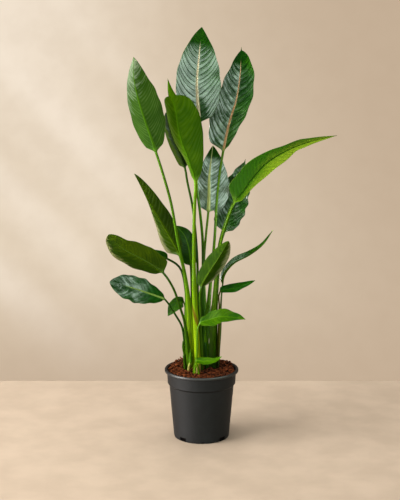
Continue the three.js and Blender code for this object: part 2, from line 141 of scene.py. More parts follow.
# %% [markdown]
# ## Shader maths as Python
#
# A leaf's colour is arithmetic: a pale rib where the distance to the midrib is small, a darker band in
# each valley between two veins. Nodes can be wired by hand in the editor, but a long formula is easier to
# read as an expression. One small class wraps a node's output, and each operator adds the Math node.

# %% Socket
class Socket:
    """One output of a node. An operator with a number or another socket adds a Math node."""

    def __init__(self, recipe, output):
        self.recipe, self.output = recipe, output

    def math(self, operation, *others):
        """A Math node that takes this socket first."""
        return self.recipe.add("ShaderNodeMath", {"operation": operation}, self, *others)

    def __add__(self, other):
        return self.math("ADD", other)

    def __mul__(self, other):
        return self.math("MULTIPLY", other)

    def __sub__(self, other):
        return self.math("SUBTRACT", other)

    def __rsub__(self, other):
        return self.recipe.add("ShaderNodeMath", {"operation": "SUBTRACT"}, other, self)

    def __truediv__(self, other):
        return self.math("DIVIDE", other)

    __radd__, __rmul__ = __add__, __mul__

    def other(self, index):
        """Another output of the same node."""
        return Socket(self.recipe, self.output.node.outputs[index])

    def step(self, low=0.0, high=1.0):
        """0 below low, 1 above high, and a smooth S between; low may be the larger of the two."""
        return self.recipe.add("ShaderNodeMapRange", {"interpolation_type": "SMOOTHSTEP"}, self, low, high)


print("operators that add nodes: +, -, * and /")

# %% [markdown]
# ## Recipes
#
# A material is a recipe: noises and stored numbers go in, colours are mixed, and a shader comes out. The
# few kinds of node that return in every finish get a method each, so a finish reads as a list of steps.

# %% Recipe
class Recipe:
    """The nodes of one material or world."""

    def __init__(self, owner):
        owner.use_nodes = True
        self.owner, self.tree = owner, owner.node_tree
        self.tree.nodes.clear()

    def add(self, kind, settings=None, *values, out=0, **named):
        """Adds a node: first its settings, then the values or links of its inputs, in order or by name. A
        name such as _2 stands for the input with that number."""
        node = self.tree.nodes.new(kind)
        for key, value in (settings or {}).items():
            setattr(node, key, value)
        inputs = list(zip(node.inputs, values))
        for key, value in named.items():
            label = int(key[1:]) if key[1:].isdigit() else key.replace("_", " ")
            inputs.append((node.inputs[label], value))
        for socket, value in inputs:
            if isinstance(value, Socket):
                self.tree.links.new(value.output, socket)
            else:
                socket.default_value = value
        return Socket(self, node.outputs[out]) if node.outputs else None

    def mix(self, share, first, second):
        """A colour between two: first where share is 0 and second where it is 1."""
        return self.add("ShaderNodeMix", {"data_type": "RGBA"}, share, out=2, _6=first, _7=second)

    def between(self, share, first, second):
        """A number between two, in the same way."""
        return self.add("ShaderNodeMix", None, share, _2=first, _3=second)

    def attribute(self, name):
        """A number that is stored at each point of the mesh."""
        return self.add("ShaderNodeAttribute", {"attribute_name": name}, out=2)

    def noise(self, vector, scale, detail=2.0, roughness=0.5):
        """Soft noise round 0.5, with about scale patches to the unit."""
        return self.add(
            "ShaderNodeTexNoise", None, Vector=vector, Scale=scale, Detail=detail, Roughness=roughness)

    def combine(self, x, y, z):
        """A vector from three numbers."""
        return self.add("ShaderNodeCombineXYZ", None, x, y, z)

    def place(self):
        """Where a point is on the plant, in metres."""
        return self.add("ShaderNodeTexCoord", out=3)

    def bump(self, strength, distance, height):
        """A normal that leans with the height, for grain too fine for the mesh."""
        return self.add("ShaderNodeBump", None, Strength=strength, Distance=distance, Height=height)

    def principled(self, **named):
        """The one shader for plastic, wax, coir and plaster."""
        return self.add("ShaderNodeBsdfPrincipled", None, **named)

    def finish(self, shader):
        """Joins the shader to the material's output and gives the material."""
        self.add("ShaderNodeOutputMaterial", None, shader)
        return self.owner


def new_recipe(name):
    """An empty recipe for a new material."""
    return Recipe(bpy.data.materials.new(name))


def srgb(red, green, blue):
    """A colour given from 0 to 255 as linear light. Each share of 255 is raised by 0.055, divided by 1.055
    and taken to the power 2.4, and the darkest shares are divided by 12.92 instead."""
    shares = [tone / 255 for tone in (red, green, blue)]
    return tuple(((v + 0.055) / 1.055) ** 2.4 if v > 0.04045 else v / 12.92 for v in shares) + (1.0,)


def dimmed(colour, share):
    """A colour given from 0 to 255, with its linear light multiplied by a share."""
    return tuple(v * share for v in srgb(*colour)[:3]) + (1.0,)


print("shader helpers ready")

# %% [markdown]
# ## Wall light
#
# The wall is lit from the upper left in soft slanting streaks, and its tone falls off towards the right. A
# second plane could stand for it, but it would hide the plant from behind. The world can hold the same
# tones, read from the direction of view, while the plant is lit by an even pale light.

# %% World
WALL_LEFT, WALL_RIGHT = srgb(228, 210, 186), srgb(197, 175, 150)
WALL_STREAK, WALL_CORNER = srgb(248, 233, 214), srgb(250, 236, 218)
WALL_BELOW, WALL_GRAIN = srgb(196, 173, 148), srgb(180, 158, 132)
AMBIENT, AMBIENT_STRENGTH = srgb(236, 214, 186), 0.27

world = bpy.data.worlds.new("studio")
bpy.context.scene.world = world
recipe = Recipe(world)
direction = recipe.add("ShaderNodeTexCoord")
rightward = recipe.add("ShaderNodeSeparateXYZ", None, direction)
upward = rightward.other(2)
leftward = 0.0 - rightward
slant = recipe.combine((rightward + upward) * 8.0, (rightward - upward) * 0.9, 0.0)
streaks = recipe.noise(slant, 1.6, 1.0).step(0.35, 0.7)
wall = recipe.mix((rightward + 0.35 * upward).step(-0.16, 0.16), WALL_LEFT, WALL_RIGHT)
wall = recipe.mix(streaks * leftward.step(0.0, 0.12) * 0.75, wall, WALL_STREAK)
wall = recipe.mix(upward.step(-0.12, 0.03) * leftward.step(0.02, 0.15) * 0.6, wall, WALL_CORNER)
wall = recipe.mix(upward.step(-0.17, -0.31) * 0.9, wall, WALL_BELOW)
wall = recipe.mix(recipe.noise(direction, 60.0, 4.0).step(0.3, 0.75) * 0.1, wall, WALL_GRAIN)
seen = recipe.add("ShaderNodeBackground", None, wall, 1.0)
ambient = recipe.add("ShaderNodeBackground", None, AMBIENT, AMBIENT_STRENGTH)
is_camera = recipe.add("ShaderNodeLightPath")
recipe.add("ShaderNodeOutputWorld", None, recipe.add("ShaderNodeMixShader", None, is_camera, ambient, seen))
print("world nodes", len(world.node_tree.nodes))

# %% [markdown]
# ## Floor plaster
#
# The plaster is pale and matt, with faint cloudy patches and a fine grain. A photograph of plaster would
# show more, but two noises are enough for a floor that only carries the plant's shadow.

# %% Floor plaster
recipe = new_recipe("floor_plaster")
mottle = recipe.noise(recipe.place(), 9.0, 5.0)
grain = recipe.noise(recipe.place(), 260.0, 2.0)
tone = recipe.mix(mottle.step(0.3, 0.72), srgb(188, 169, 148), srgb(200, 181, 160))
floor.data.materials.append(recipe.finish(recipe.principled(
    Base_Color=tone, Roughness=0.75, Normal=recipe.bump(0.15, 0.002, grain))))
print("floor finish", recipe.owner.name)

# %% [markdown]
# ## The leaves as numbers
#
# Each leaf is one row: where its stalk stands, the points that the stalk and the midrib pass, how wide
# each half of the blade is, and how far the upper face is turned and folded. The rows are those of the
# imported solids, so each fine leaf lies where its solid lies. Modelling each leaf by hand from a plane
# would work for one, but twenty-three leaves share one shape and differ in their numbers.

# %% Leaf rows, in millimetres and degrees
# size: how fine the grid is; colour: the name of its tone
# foot: where the stalk stands on the soil; stalk, blade: the points that the curve passes
# right, left: the widest half, and how fast it rises and falls; tail: a drawn-out tip's share and half width
# turn: of the upper face at the foot, the blade's base and its tip, 0 where it faces the front
# fold: of both halves at the base and the tip; wave: height and number of the margin's waves
# stem: half width at the foot and the top, and the share of the stalk that is wrapped in its sheath
LEAVES = [
  {
    "name": "leaf_top", "size": "large", "colour": "deep", "foot": [0, 20],
    "stalk": [[4, 19, 306], [4, 17, 423], [3, 14, 564], [-4, 12, 643], [-13, 12, 722], [-11, 16, 819]],
    "blade": [[-7, 22, 891], [-13, 28, 1000], [-6, 42, 1086], [1, 62, 1154]],
    "right": [66, 0.65, 1], "left": [58, 0.6, 0.85], "tail": [0, 1],
    "turn": [-20, 0, 0], "fold": [14, 8], "stem": [7, 3.4, 0.5], "wave": [1.5, 3],
  },
  {
    "name": "leaf_upper_right", "size": "large", "colour": "deep", "foot": [13, 8],
    "stalk": [[13, 9, 280], [21, 11, 396], [36, 18, 564], [43, 30, 678], [50, 38, 747]],
    "blade": [[60, 45, 811], [78, 52, 895], [96, 60, 954], [107, 74, 1023], [111, 96, 1099]],
    "right": [44, 0.9, 0.6], "left": [58, 0.45, 0.8], "tail": [0.03, 1.5],
    "turn": [-20, -8, 0], "fold": [18, 8], "stem": [7, 3.4, 0.5], "wave": [2.5, 3],
  },
  {
    "name": "leaf_upper_left", "size": "large", "colour": "green", "foot": [-27, 4],
    "stalk": [
      [-29, -22, 289], [-34, -32, 373], [-43, -44, 466], [-65, -52, 576], [-83, -56, 682], [-105, -62, 765],
    ],
    "blade": [[-122, -66, 820], [-153, -74, 912], [-170, -82, 971], [-179, -92, 1021], [-179, -106, 1076]],
    "right": [51, 0.5, 1.1], "left": [55, 0.7, 0.8], "tail": [0, 1],
    "turn": [175, 155, 155], "fold": [26, 14], "stem": [10, 3.4, 0.5], "wave": [1, 3],
  },
  {
    "name": "leaf_upper_front", "size": "large", "colour": "bright", "foot": [-11, -30],
    "stalk": [[-15, -40, 290], [-19, -48, 406], [-21, -44, 520], [-20, -40, 630], [-18, -38, 688]],
    "blade": [
      [-16, -38, 737], [-33, -41, 797], [-53, -46, 850], [-65, -54, 904], [-71, -60, 944],
      [-84, -72, 984], [-90, -80, 1019],
    ],
    "right": [44, 1.2, 0.3], "left": [64, 0.9, 0.5], "tail": [0.17, 12],
    "turn": [150, 160, 160], "fold": [36, 30], "stem": [7, 4.4, 0.7], "wave": [1, 2],
  },
  {
    "name": "leaf_upper_rolled", "size": "large", "colour": "olive", "foot": [-10, 44],
    "stalk": [[-10, 36, 390], [-11, 32, 507], [-24, 26, 654], [-40, 22, 733]],
    "blade": [[-46, 20, 769], [-65, 21, 819], [-83, 23, 860], [-93, 26, 896], [-97, 30, 923]],
    "right": [22, 0.35, 0.5], "left": [20, 0.35, 0.5], "tail": [0, 1],
    "turn": [90, 170, 170], "fold": [30, 30], "stem": [6, 3, 0.5], "wave": [1, 2],
  },
  {
    "name": "leaf_mid_back", "size": "large", "colour": "deep", "foot": [16, 27],
    "stalk": [[11, 29, 304], [8, 33, 420], [7, 37, 506], [13, 45, 581]],
    "blade": [[19, 54, 639], [21, 60, 685], [22, 64, 743], [32, 80, 826]],
    "right": [57, 0.5, 0.85], "left": [34, 0.5, 0.9], "tail": [0, 1],
    "turn": [-20, 12, 8], "fold": [14, 8], "stem": [7, 3.2, 0.6], "wave": [2, 3],
  },
  {
    "name": "leaf_mid_right_back", "size": "large", "colour": "deep", "foot": [34, 28],
    "stalk": [[40, 38, 331], [48, 48, 460], [55, 56, 548]],
    "blade": [[64, 62, 579], [84, 72, 638], [104, 84, 705], [125, 104, 785]],
    "right": [41, 0.6, 0.9], "left": [50, 0.5, 0.8], "tail": [0.04, 2],
    "turn": [-20, -10, 0], "fold": [18, 10], "stem": [7, 3, 0.6], "wave": [4, 4],
  },
  {
    "name": "leaf_long_right", "size": "large", "colour": "bright", "foot": [33, 4],
    "stalk": [[32, 2, 295], [37, 4, 425], [49, 6, 554], [65, 4, 614]],
    "blade": [
      [89, 0, 674], [116, -6, 707], [144, -12, 748], [179, -18, 787], [239, -20, 824], [296, -16, 845],
      [371, -6, 862],
    ],
    "right": [36, 1.8, 1.2], "left": [42, 0.25, 1], "tail": [0.28, 14],
    "turn": [-20, -36, -30], "fold": [14, 24], "stem": [8, 3.6, 0.6], "wave": [1.5, 3],
  },
  {
    "name": "leaf_left_narrow", "size": "large", "colour": "olive", "foot": [-39, 22],
    "stalk": [[-40, -4, 297], [-42, -22, 403], [-48, -27, 476]],
    "blade": [[-60, -27, 529], [-95, -34, 598], [-136, -46, 670], [-165, -58, 729], [-182, -68, 764]],
    "right": [44, 0.5, 2.2], "left": [32, 0.5, 0.7], "tail": [0, 1],
    "turn": [150, 185, 130], "fold": [40, 36], "stem": [8, 3.6, 0.8], "wave": [1, 2],
  },
  {
    "name": "leaf_left_inner", "size": "small", "colour": "deep", "foot": [-17, 16],
    "stalk": [[-26, 2, 369]],
    "blade": [[-30, -6, 497], [-36, -4, 548], [-48, 2, 583], [-72, 16, 607]],
    "right": [24, 0.5, 0.7], "left": [28, 0.5, 0.7], "tail": [0, 1],
    "turn": [40, 20, 20], "fold": [14, 8], "stem": [5, 3, 0.6], "wave": [1, 2],
  },
  {
    "name": "leaf_left_broad", "size": "large", "colour": "olive", "foot": [-37, -4],
    "stalk": [[-40, -26, 271], [-47, -46, 346], [-60, -62, 394], [-77, -76, 448]],
    "blade": [[-104, -84, 493], [-131, -88, 514], [-172, -96, 540], [-215, -104, 566], [-251, -110, 604]],
    "right": [46, 0.6, 0.5], "left": [40, 0.32, 0.6], "tail": [0, 1],
    "turn": [150, 160, 160], "fold": [14, 10], "stem": [6, 3, 0.6], "wave": [1.5, 2],
  },
  {
    "name": "leaf_left_hidden", "size": "small", "colour": "olive", "foot": [-30, 36],
    "stalk": [[-41, 6, 338], [-41, -4, 399], [-59, -8, 492]],
    "blade": [[-94, -8, 518], [-130, -12, 530], [-171, -20, 539]],
    "right": [17, 0.5, 0.9], "left": [17, 0.5, 0.9], "tail": [0, 1],
    "turn": [60, 60, 60], "fold": [20, 10], "stem": [5, 3, 0.5], "wave": [1, 2],
  },
  {
    "name": "leaf_left_glossy", "size": "large", "colour": "deep", "foot": [-45, 8],
    "stalk": [[-48, -12, 285], [-55, -28, 330], [-70, -40, 361], [-85, -46, 387]],
    "blade": [[-100, -50, 410], [-126, -53, 422], [-158, -60, 435], [-205, -74, 454], [-251, -92, 470]],
    "right": [37, 0.9, 0.75], "left": [44, 0.9, 0.65], "tail": [0, 1],
    "turn": [60, 40, 40], "fold": [10, 4], "stem": [4, 2.6, 0.5], "wave": [3, 3],
  },
  {
    "name": "leaf_left_small", "size": "small", "colour": "green", "foot": [-46, 36],
    "stalk": [[-48, 12, 308]],
    "blade": [[-50, 4, 391], [-66, -4, 390], [-82, -10, 377], [-95, -14, 355]],
    "right": [17, 0.5, 1], "left": [19, 0.5, 0.8], "tail": [0, 1],
    "turn": [60, 30, 30], "fold": [15, 10], "stem": [4, 2.2, 0.5], "wave": [1, 2],
  },
  {
    "name": "leaf_front_folded", "size": "large", "colour": "olive", "foot": [-1, -11],
    "stalk": [[-3, -40, 350]],
    "blade": [[-2, -58, 445], [18, -66, 487], [46, -78, 534], [73, -90, 583]],
    "right": [27, 0.5, 0.7], "left": [40, 0.6, 0.7], "tail": [0, 1],
    "turn": [170, 190, 190], "fold": [35, 30], "stem": [5, 3, 0.6], "wave": [1, 2],
  },
  {
    "name": "leaf_right_narrow", "size": "large", "colour": "green", "foot": [48, 32],
    "stalk": [[51, 33, 287], [54, 33, 388]],
    "blade": [[58, 34, 434], [66, 34, 466], [91, 36, 496], [137, 42, 520], [174, 52, 547], [203, 66, 587]],
    "right": [20, 0.5, 0.9], "left": [16, 0.5, 0.9], "tail": [0, 1],
    "turn": [-60, -80, -70], "fold": [36, 26], "stem": [5, 2.6, 0.5], "wave": [1, 2],
  },
  {
    "name": "leaf_right_small", "size": "small", "colour": "green", "foot": [46, 10],
    "stalk": [[48, 12, 293], [49, 12, 375]],
    "blade": [[51, 12, 418], [97, 18, 429], [152, 30, 448]],
    "right": [17, 0.5, 0.9], "left": [17, 0.5, 0.9], "tail": [0, 1],
    "turn": [-60, -60, -60], "fold": [12, 8], "stem": [4, 2.2, 0.5], "wave": [1, 2],
  },
  {
    "name": "leaf_front_low", "size": "large", "colour": "green", "foot": [-20, -44],
    "stalk": [[-14, -52, 261]],
    "blade": [[-7, -62, 344], [23, -70, 359], [56, -82, 370], [92, -92, 370], [120, -100, 367]],
    "right": [28, 0.8, 1.3], "left": [24, 0.8, 0.9], "tail": [0, 1],
    "turn": [-60, -50, -50], "fold": [15, 10], "stem": [4.5, 2.6, 0.5], "wave": [1, 2],
  },
  {
    "name": "leaf_soil_low", "size": "small", "colour": "bright", "foot": [-9, -50],
    "stalk": [[-13, -63, 223]],
    "blade": [[-17, -73, 241], [7, -79, 242], [32, -82, 244], [56, -84, 257]],
    "right": [14, 0.5, 0.9], "left": [12, 0.5, 0.9], "tail": [0, 1],
    "turn": [-60, -60, -60], "fold": [15, 10], "stem": [3, 2.2, 0.5], "wave": [1, 2],
  },
  {
    "name": "sheath_left", "size": "sheath", "colour": "bright", "foot": [-46, -3],
    "stalk": [], "blade": [[-49, -9, 239], [-53, -13, 263], [-53, -15, 283]],
    "right": [4, 0.3, 0.6], "left": [4, 0.3, 0.6], "tail": [0, 1],
    "turn": [150, 150, 150], "fold": [40, 40], "stem": [3.6, 3.6, 0.5], "wave": [0, 1],
  },
  {
    "name": "sheath_front", "size": "sheath", "colour": "bright", "foot": [-36, -22],
    "stalk": [], "blade": [[-32, -26, 222], [-31, -29, 243], [-31, -32, 264]],
    "right": [4, 0.3, 0.6], "left": [4, 0.3, 0.6], "tail": [0, 1],
    "turn": [175, 175, 175], "fold": [40, 40], "stem": [5, 4, 0.5], "wave": [0, 1],
  },
  {
    "name": "sheath_mid", "size": "sheath", "colour": "bright", "foot": [14, -7],
    "stalk": [[12, -8, 255]], "blade": [[11, -9, 276], [11, -9, 299], [10, -8, 322]],
    "right": [3, 0.3, 0.6], "left": [3, 0.3, 0.6], "tail": [0, 1],
    "turn": [175, 175, 175], "fold": [40, 40], "stem": [5, 3.6, 0.5], "wave": [0, 1],
  },
  {
    "name": "sheath_back", "size": "sheath", "colour": "deep", "foot": [25, 17],
    "stalk": [[25, 17, 248]], "blade": [[26, 17, 278], [27, 19, 322], [28, 21, 377]],
    "right": [4, 0.3, 0.6], "left": [4, 0.3, 0.6], "tail": [0, 1],
    "turn": [-10, -10, -10], "fold": [40, 40], "stem": [5, 4, 0.5], "wave": [0, 1],
  },
]
print("leaf rows", len(LEAVES))

# %% [markdown]
# ## A curve for each midrib
#
# A stalk bends evenly and passes all its points. A Bezier curve needs two handles for each point, while a
# Catmull-Rom curve takes its slopes from the neighbours. The centripetal kind spaces its knots by the
# square root of each distance, which keeps it free of loops where points lie close together.

# %% Curve through points
def unit(vectors):
    """Vectors divided by their lengths."""
    return vectors / np.linalg.norm(vectors, axis=-1, keepdims=True)


def lerp(a, b, t):
    """a plus the share t of the way to b."""
    return a + (b - a) * t


def smooth(t, low, high):
    """0 below low, 1 above high, 3x squared minus 2x cubed between."""
    x = np.clip((t - low) / (high - low), 0, 1)
    return x * x * (3 - 2 * x)


def knot_gap(a, b):
    """The square root of the distance between two points."""
    return np.sqrt(np.linalg.norm(b - a, axis=1))[:, None]


def curve_at(points, t):
    """Centripetal Catmull-Rom: knots lie the square root of the distance apart. The slope at an inner point
    is the left chord's slope, minus the slope over both, plus the right chord's slope, and a cubic joins two
    points with those slopes. t runs from 0 to the number of pieces."""
    padded = np.vstack([2 * points[0] - points[1], points, 2 * points[-1] - points[-2]])
    k = np.clip(np.floor(t).astype(int), 0, len(points) - 2)
    w = (t - k)[:, None]
    p0, p1, p2, p3 = (padded[k + i] for i in range(4))
    d0, d1, d2 = knot_gap(p0, p1), knot_gap(p1, p2), knot_gap(p2, p3)
    leave = ((p1 - p0) / d0 - (p2 - p0) / (d0 + d1) + (p2 - p1) / d1) * d1
    arrive = ((p2 - p1) / d1 - (p3 - p1) / (d1 + d2) + (p3 - p2) / d2) * d1
    bend2 = -3 * p1 + 3 * p2 - 2 * leave - arrive
    bend3 = 2 * p1 - 2 * p2 + leave + arrive
    return p1 + w * leave + w**2 * bend2 + w**3 * bend3


line = np.array([[0, 0, 0], [0, 0, 100], [30, 0, 200]], float)
print("half way up a bent stalk", curve_at(line, np.array([0.5])).round(1).tolist())

# %% [markdown]
# ## The spine of a leaf
#
# The spine is that curve, measured by length, with three directions at each point: forward along it, up out
# of the upper face, and across. Blender's own curve tilt could turn the section as well, but then each
# leaf would need its tilts set by eye.

# %% Spine
FOOT_HEIGHT = 155  # the stalks end here, inside the soil
SURFACE_HEIGHT = 204  # above it a stalk is clear of the soil
CURVE_STEPS = 60  # per piece, to measure along the curve
TANGENT_STEP = 1e-3  # the share of a piece over which a direction is taken
FRONT = np.array([0.0, -1.0, 0.0])


class Spine:
    """A leaf's curve from foot to tip, measured by length."""

    def __init__(self, leaf):
        foot, stalk = leaf["foot"], leaf["stalk"]
        self.points = np.array([[*foot, FOOT_HEIGHT], [*foot, SURFACE_HEIGHT], *stalk, *leaf["blade"]], float)
        pieces = len(self.points) - 1
        self.knots = np.linspace(0, pieces, CURVE_STEPS * pieces + 1)
        chords = np.linalg.norm(np.diff(curve_at(self.points, self.knots), axis=0), axis=1)
        self.lengths = np.concatenate([[0], np.cumsum(chords)])
        self.whole = self.lengths[-1]
        self.blade_start = self.lengths[CURVE_STEPS * (2 + len(stalk))]

    def frames(self, along, turn):
        """Centre, up and across at each length. Up is the front direction made square to the curve and turned
        about it; across is forward cross up."""
        t = np.interp(along, self.lengths, self.knots)
        after = curve_at(self.points, np.clip(t + TANGENT_STEP, 0, self.knots[-1]))
        before = curve_at(self.points, np.clip(t - TANGENT_STEP, 0, None))
        forward = unit(after - before)
        front = unit(FRONT - forward * (forward @ FRONT)[:, None])
        angle = np.radians(turn)[:, None]
        up = front * np.cos(angle) + np.cross(forward, front) * np.sin(angle)
        return curve_at(self.points, t), up, np.cross(forward, up)


print("longest leaf", round(max(Spine(leaf).whole for leaf in LEAVES)), "mm")

# %% [markdown]
# ## Walking round a leaf
#
# One grid covers a whole leaf: one direction runs along the spine, and the other goes once round the
# section, over the upper face and back along the underside. A flat plane with a Solidify modifier would
# be quicker, but it would have no rib and no gutter.

# %% Steps along and round a leaf
STALK_STEP = 13  # millimetres between rings on the stalk
BLADE_STEPS = {"large": 1.6, "small": 1.6, "sheath": 3.0}  # and on the blade
LOOP_STEPS = {"large": 65, "small": 37, "sheath": 37}  # points over one face


def leaf_stations(spine, size):
    """Lengths along the curve, and the share of the blade at each. Steps are wide on the stalk and fine on
    the blade, and a sine taken from an even share makes them finer still at both its ends."""
    blade_length = spine.whole - spine.blade_start
    rings = max(6, int(spine.blade_start / STALK_STEP))
    stalk = np.linspace(0, spine.blade_start, rings, endpoint=False)
    even = np.linspace(0, 1, max(24, int(blade_length / BLADE_STEPS[size])))
    eased = even - 0.09 * np.sin(2 * np.pi * even) / np.pi
    along = np.concatenate([stalk, spine.blade_start + blade_length * eased])
    return along, np.concatenate([np.zeros(rings), eased])


def section_walk(count):
    """Once round a section, from the right margin over the upper face and back below. It gives even shares
    from 1 to -1 and back, the same with steps crowded at the midrib by the power 1.2, and which are below."""
    even = np.linspace(1, -1, count)
    crowded = np.sign(even) * np.abs(even) ** 1.2
    below = np.arange(2 * count) >= count
    evenly, crowding = np.concatenate([even, -even]), np.concatenate([crowded, -crowded])
    return evenly[None, :], crowding[None, :], below[None, :]


print("rings on the top leaf", len(leaf_stations(Spine(LEAVES[0]), "large")[0]))

# %% [markdown]
# ## The stalk
#
# The stalk of a Strelitzia is a gutter with a round back. Near the soil it opens to a sheath whose edges
# wrap round the next stalk. A bevelled curve would give a round stalk, but no gutter and no sheath.

# %% Stalk section
SHEATH_LOOSE = 2.0  # the soft edge of a sheath stands this much outside its plain solid
# reach: how much higher the sheath's edge ends; lobe: share of the half width that the margin gives away
# quilt: height of the pillows between veins; cockle: of wider swells; pitch: from one vein to the next
SURFACE = dict(reach=1.0, lobe=0.03, quilt=0.22, cockle=0.35)
VEIN_PITCH = {"large": 15.0, "small": 10.0, "sheath": 10.0}
SURFACES = {  # where a leaf differs
    "leaf_upper_right": dict(lobe=0.07, cockle=0.6, pitch=17.0),
    "leaf_upper_left": dict(pitch=9.5),
    "leaf_mid_back": dict(pitch=11.0),
    "leaf_mid_right_back": dict(lobe=0.11, cockle=1.2, pitch=12.0),
    "leaf_long_right": dict(lobe=0.04, quilt=0.05, cockle=0.0),
    "leaf_left_broad": dict(lobe=0.06, pitch=11.0),
    "leaf_left_glossy": dict(lobe=0.07, quilt=0.14, cockle=2.0),
    "leaf_right_narrow": dict(reach=1.6),
    "leaf_right_small": dict(reach=1.6),
    "leaf_front_low": dict(lobe=0.12),
}


def surface_of(leaf):
    """The leaf's own surface values over the common ones."""
    return SimpleNamespace(**{"pitch": VEIN_PITCH[leaf["size"]], **SURFACE, **SURFACES.get(leaf["name"], {})})


def stalk_section(leaf, t, walk):
    """Across and up in millimetres. The back is half an ellipse, and the face a shallow trough. Where the
    sheath is open the section is wider and flatter, and its edges rise with the cube of the way across. It
    narrows upwards from 1.35 times its half width at the blade."""
    even, u, below = walk
    foot_half, top_half, sheath = leaf["stem"]
    foot_half = foot_half + SHEATH_LOOSE
    sheath = sheath * surface_of(leaf).reach
    opened = 1 - smooth(t, 0.35 * sheath, sheath)
    half = lerp(lerp(1.35 * top_half, top_half, t), foot_half, opened)
    depth = lerp(1.6 * half, 0.5 * foot_half, opened)
    cup = opened * 0.3 * foot_half
    swing = 0.5 * np.pi * (1 - np.abs(even))
    back = cup * (1 - np.sin(swing)) - depth * np.sin(swing)
    face = cup * np.abs(u) ** 3 - 0.3 * depth * (1 - u**2)
    return np.where(below, np.sign(u) * half * np.cos(swing), half * u), np.where(below, back, face)


print("leaves with their own surface", len(SURFACES))

# %% [markdown]
# ## The blade's width
#
# Each half of a blade swells from its base and narrows to the tip, and some blades end in a long drawn-out
# tip. The margin is never quite even: it gives and takes in shallow lobes. An outline drawn by hand as a
# curve would do as well, but two powers and a straight line describe every blade here.

# %% Half widths
TIP_HALF = 0.5
CORNER_EASE = 0.3  # share of the drawn-out tip's half width over which its corner with the blade is eased
LOBE_WAVES = 1.7  # lobes to each wave of the margin


def blade_half(shape, tail, s):
    """s to the rise times 1 - s to the fall, scaled so that its peak is the widest half. A drawn-out tip
    narrows in a straight line over the tail's share. The larger of the two counts, with the corner between
    them eased: half of their sum plus the root of their squared difference and a small square."""
    widest, rise, fall = shape
    share, half = tail
    body = np.minimum(1, s / (1 - share))
    peak = rise / (rise + fall)
    swell = widest * body**rise * (1 - body) ** fall / (peak**rise * (1 - peak) ** fall)
    drawn = half * np.minimum(1, (1 - s) / max(share, 0.01))
    eased = 0.5 * (swell + drawn + np.sqrt((swell - drawn) ** 2 + (CORNER_EASE * drawn) ** 2))
    return np.maximum(eased, TIP_HALF)


def half_widths(leaf, s, u, seed):
    """The half width at each point: the stalk's own half, which fades along the blade, plus the blade's half
    on that side. A lobe takes its share away by half of 1 minus a cosine, out of step on the two sides."""
    right, left = (blade_half(leaf[side], leaf["tail"], s) for side in ("right", "left"))
    wide = leaf["stem"][1] * (1 - s) + np.where(u > 0, right, left)
    turns = LOBE_WAVES * leaf["wave"][1] * s
    lobe = 0.5 - 0.5 * np.cos(2 * np.pi * turns + seed + 1.9 * (u < 0))
    return wide * (1 - surface_of(leaf).lobe * lobe * smooth(s, 0.05, 0.2))


shares = np.linspace(0, 1, 99)
widest = max(float(blade_half(leaf["left"], leaf["tail"], shares).max()) for leaf in LEAVES)
print("widest left half", round(widest), "mm")

# %% [markdown]
# ## Veins, pillows and rib
#
# Side veins leave the midrib close together and run out towards the margin, and the sheet is lightly
# quilted between them. Along the midrib the upper face has a gutter and the underside a keel. A bump map
# could draw the veins, but light that grazes a glossy leaf needs the real swell.

# %% Blade section
BLADE_THICKNESS = 0.8
VEIN_STAGGER = 4.7  # millimetres between the veins of the two halves


def side_veins(leaf, s, length, wide, u, seed):
    """Where the vein at each point leaves the midrib, in millimetres: the point's own place along the blade,
    less the width times 0.35 of the way across and 0.75 of its power 2.2. The phase turns once from each vein
    to the next, and two slow sines make the spacing uneven."""
    across = np.abs(u)
    vein = s * length - wide * (0.35 * across + 0.75 * across**2.2) + np.where(u < 0, VEIN_STAGGER, 0)
    uneven = 1.2 * np.sin(vein / 17 + seed) + 0.6 * np.sin(vein / 9.1 + 2 * seed + across * wide / 30)
    return vein, 2 * np.pi * vein / surface_of(leaf).pitch + uneven


def relief(leaf, s, length, wide, u, phase, seed):
    """Height of the pillows, minus the cosine of the phase, and of wider swells from crossed sines. Both fade
    out at the rib, at the margin by the sixth power of the way across, and where the blade is narrow."""
    flat, place, own = np.abs(u) * wide, s * length, surface_of(leaf)
    envelope = smooth(flat, 1.5, 7) * (1 - np.abs(u) ** 6) * np.minimum(1, wide / 20)
    swell = np.sin(place / 19 + seed) * np.sin(flat / 9 + 3 * seed) + np.sin(place / 31 + 2 * seed + u * 2)
    return envelope * (own.cockle * swell * np.abs(u) - own.quilt * np.cos(phase))


def blade_section(leaf, s, length, walk, seed):
    """Across and up in millimetres, and the notes for the finish. Each half rises with the sine of its fold,
    with a rounded crease: the root of the squared rise plus 0.3. The margin waves with the square of the way
    across. The gutter and the keel are bells, e to the power of minus the squared distance over the rib's
    width."""
    _, u, below = walk
    fold = np.radians(lerp(*leaf["fold"], s))
    height, waves = leaf["wave"]
    wide = half_widths(leaf, s, u, seed)
    flat = np.abs(u) * wide
    vein, phase = side_veins(leaf, s, length, wide, u, seed)
    ripple = height * u**2 * np.sin(2 * np.pi * waves * s + 2 * (u < 0)) * np.sin(np.pi * s)
    keel = leaf["stem"][1] * (1 - 0.75 * s) * (1 - s**4)
    rib = np.maximum(0.3, 0.6 * keel)
    gutter = -0.45 * keel * np.exp(-((flat / (0.9 * rib + 0.3)) ** 2))
    back = keel * np.exp(-((flat / (0.8 * rib + 0.4)) ** 2)) + BLADE_THICKNESS * (1 - 0.6 * np.abs(u) ** 8)
    crease = np.sqrt((flat * np.sin(fold)) ** 2 + 0.3) - 0.55
    z = crease + ripple + relief(leaf, s, length, wide, u, phase, seed) + np.where(below, -back, gutter)
    return u * wide * np.cos(fold), z, {"vein": vein, "phase": phase, "keel": rib}


print("blades are", BLADE_THICKNESS, "mm thick")

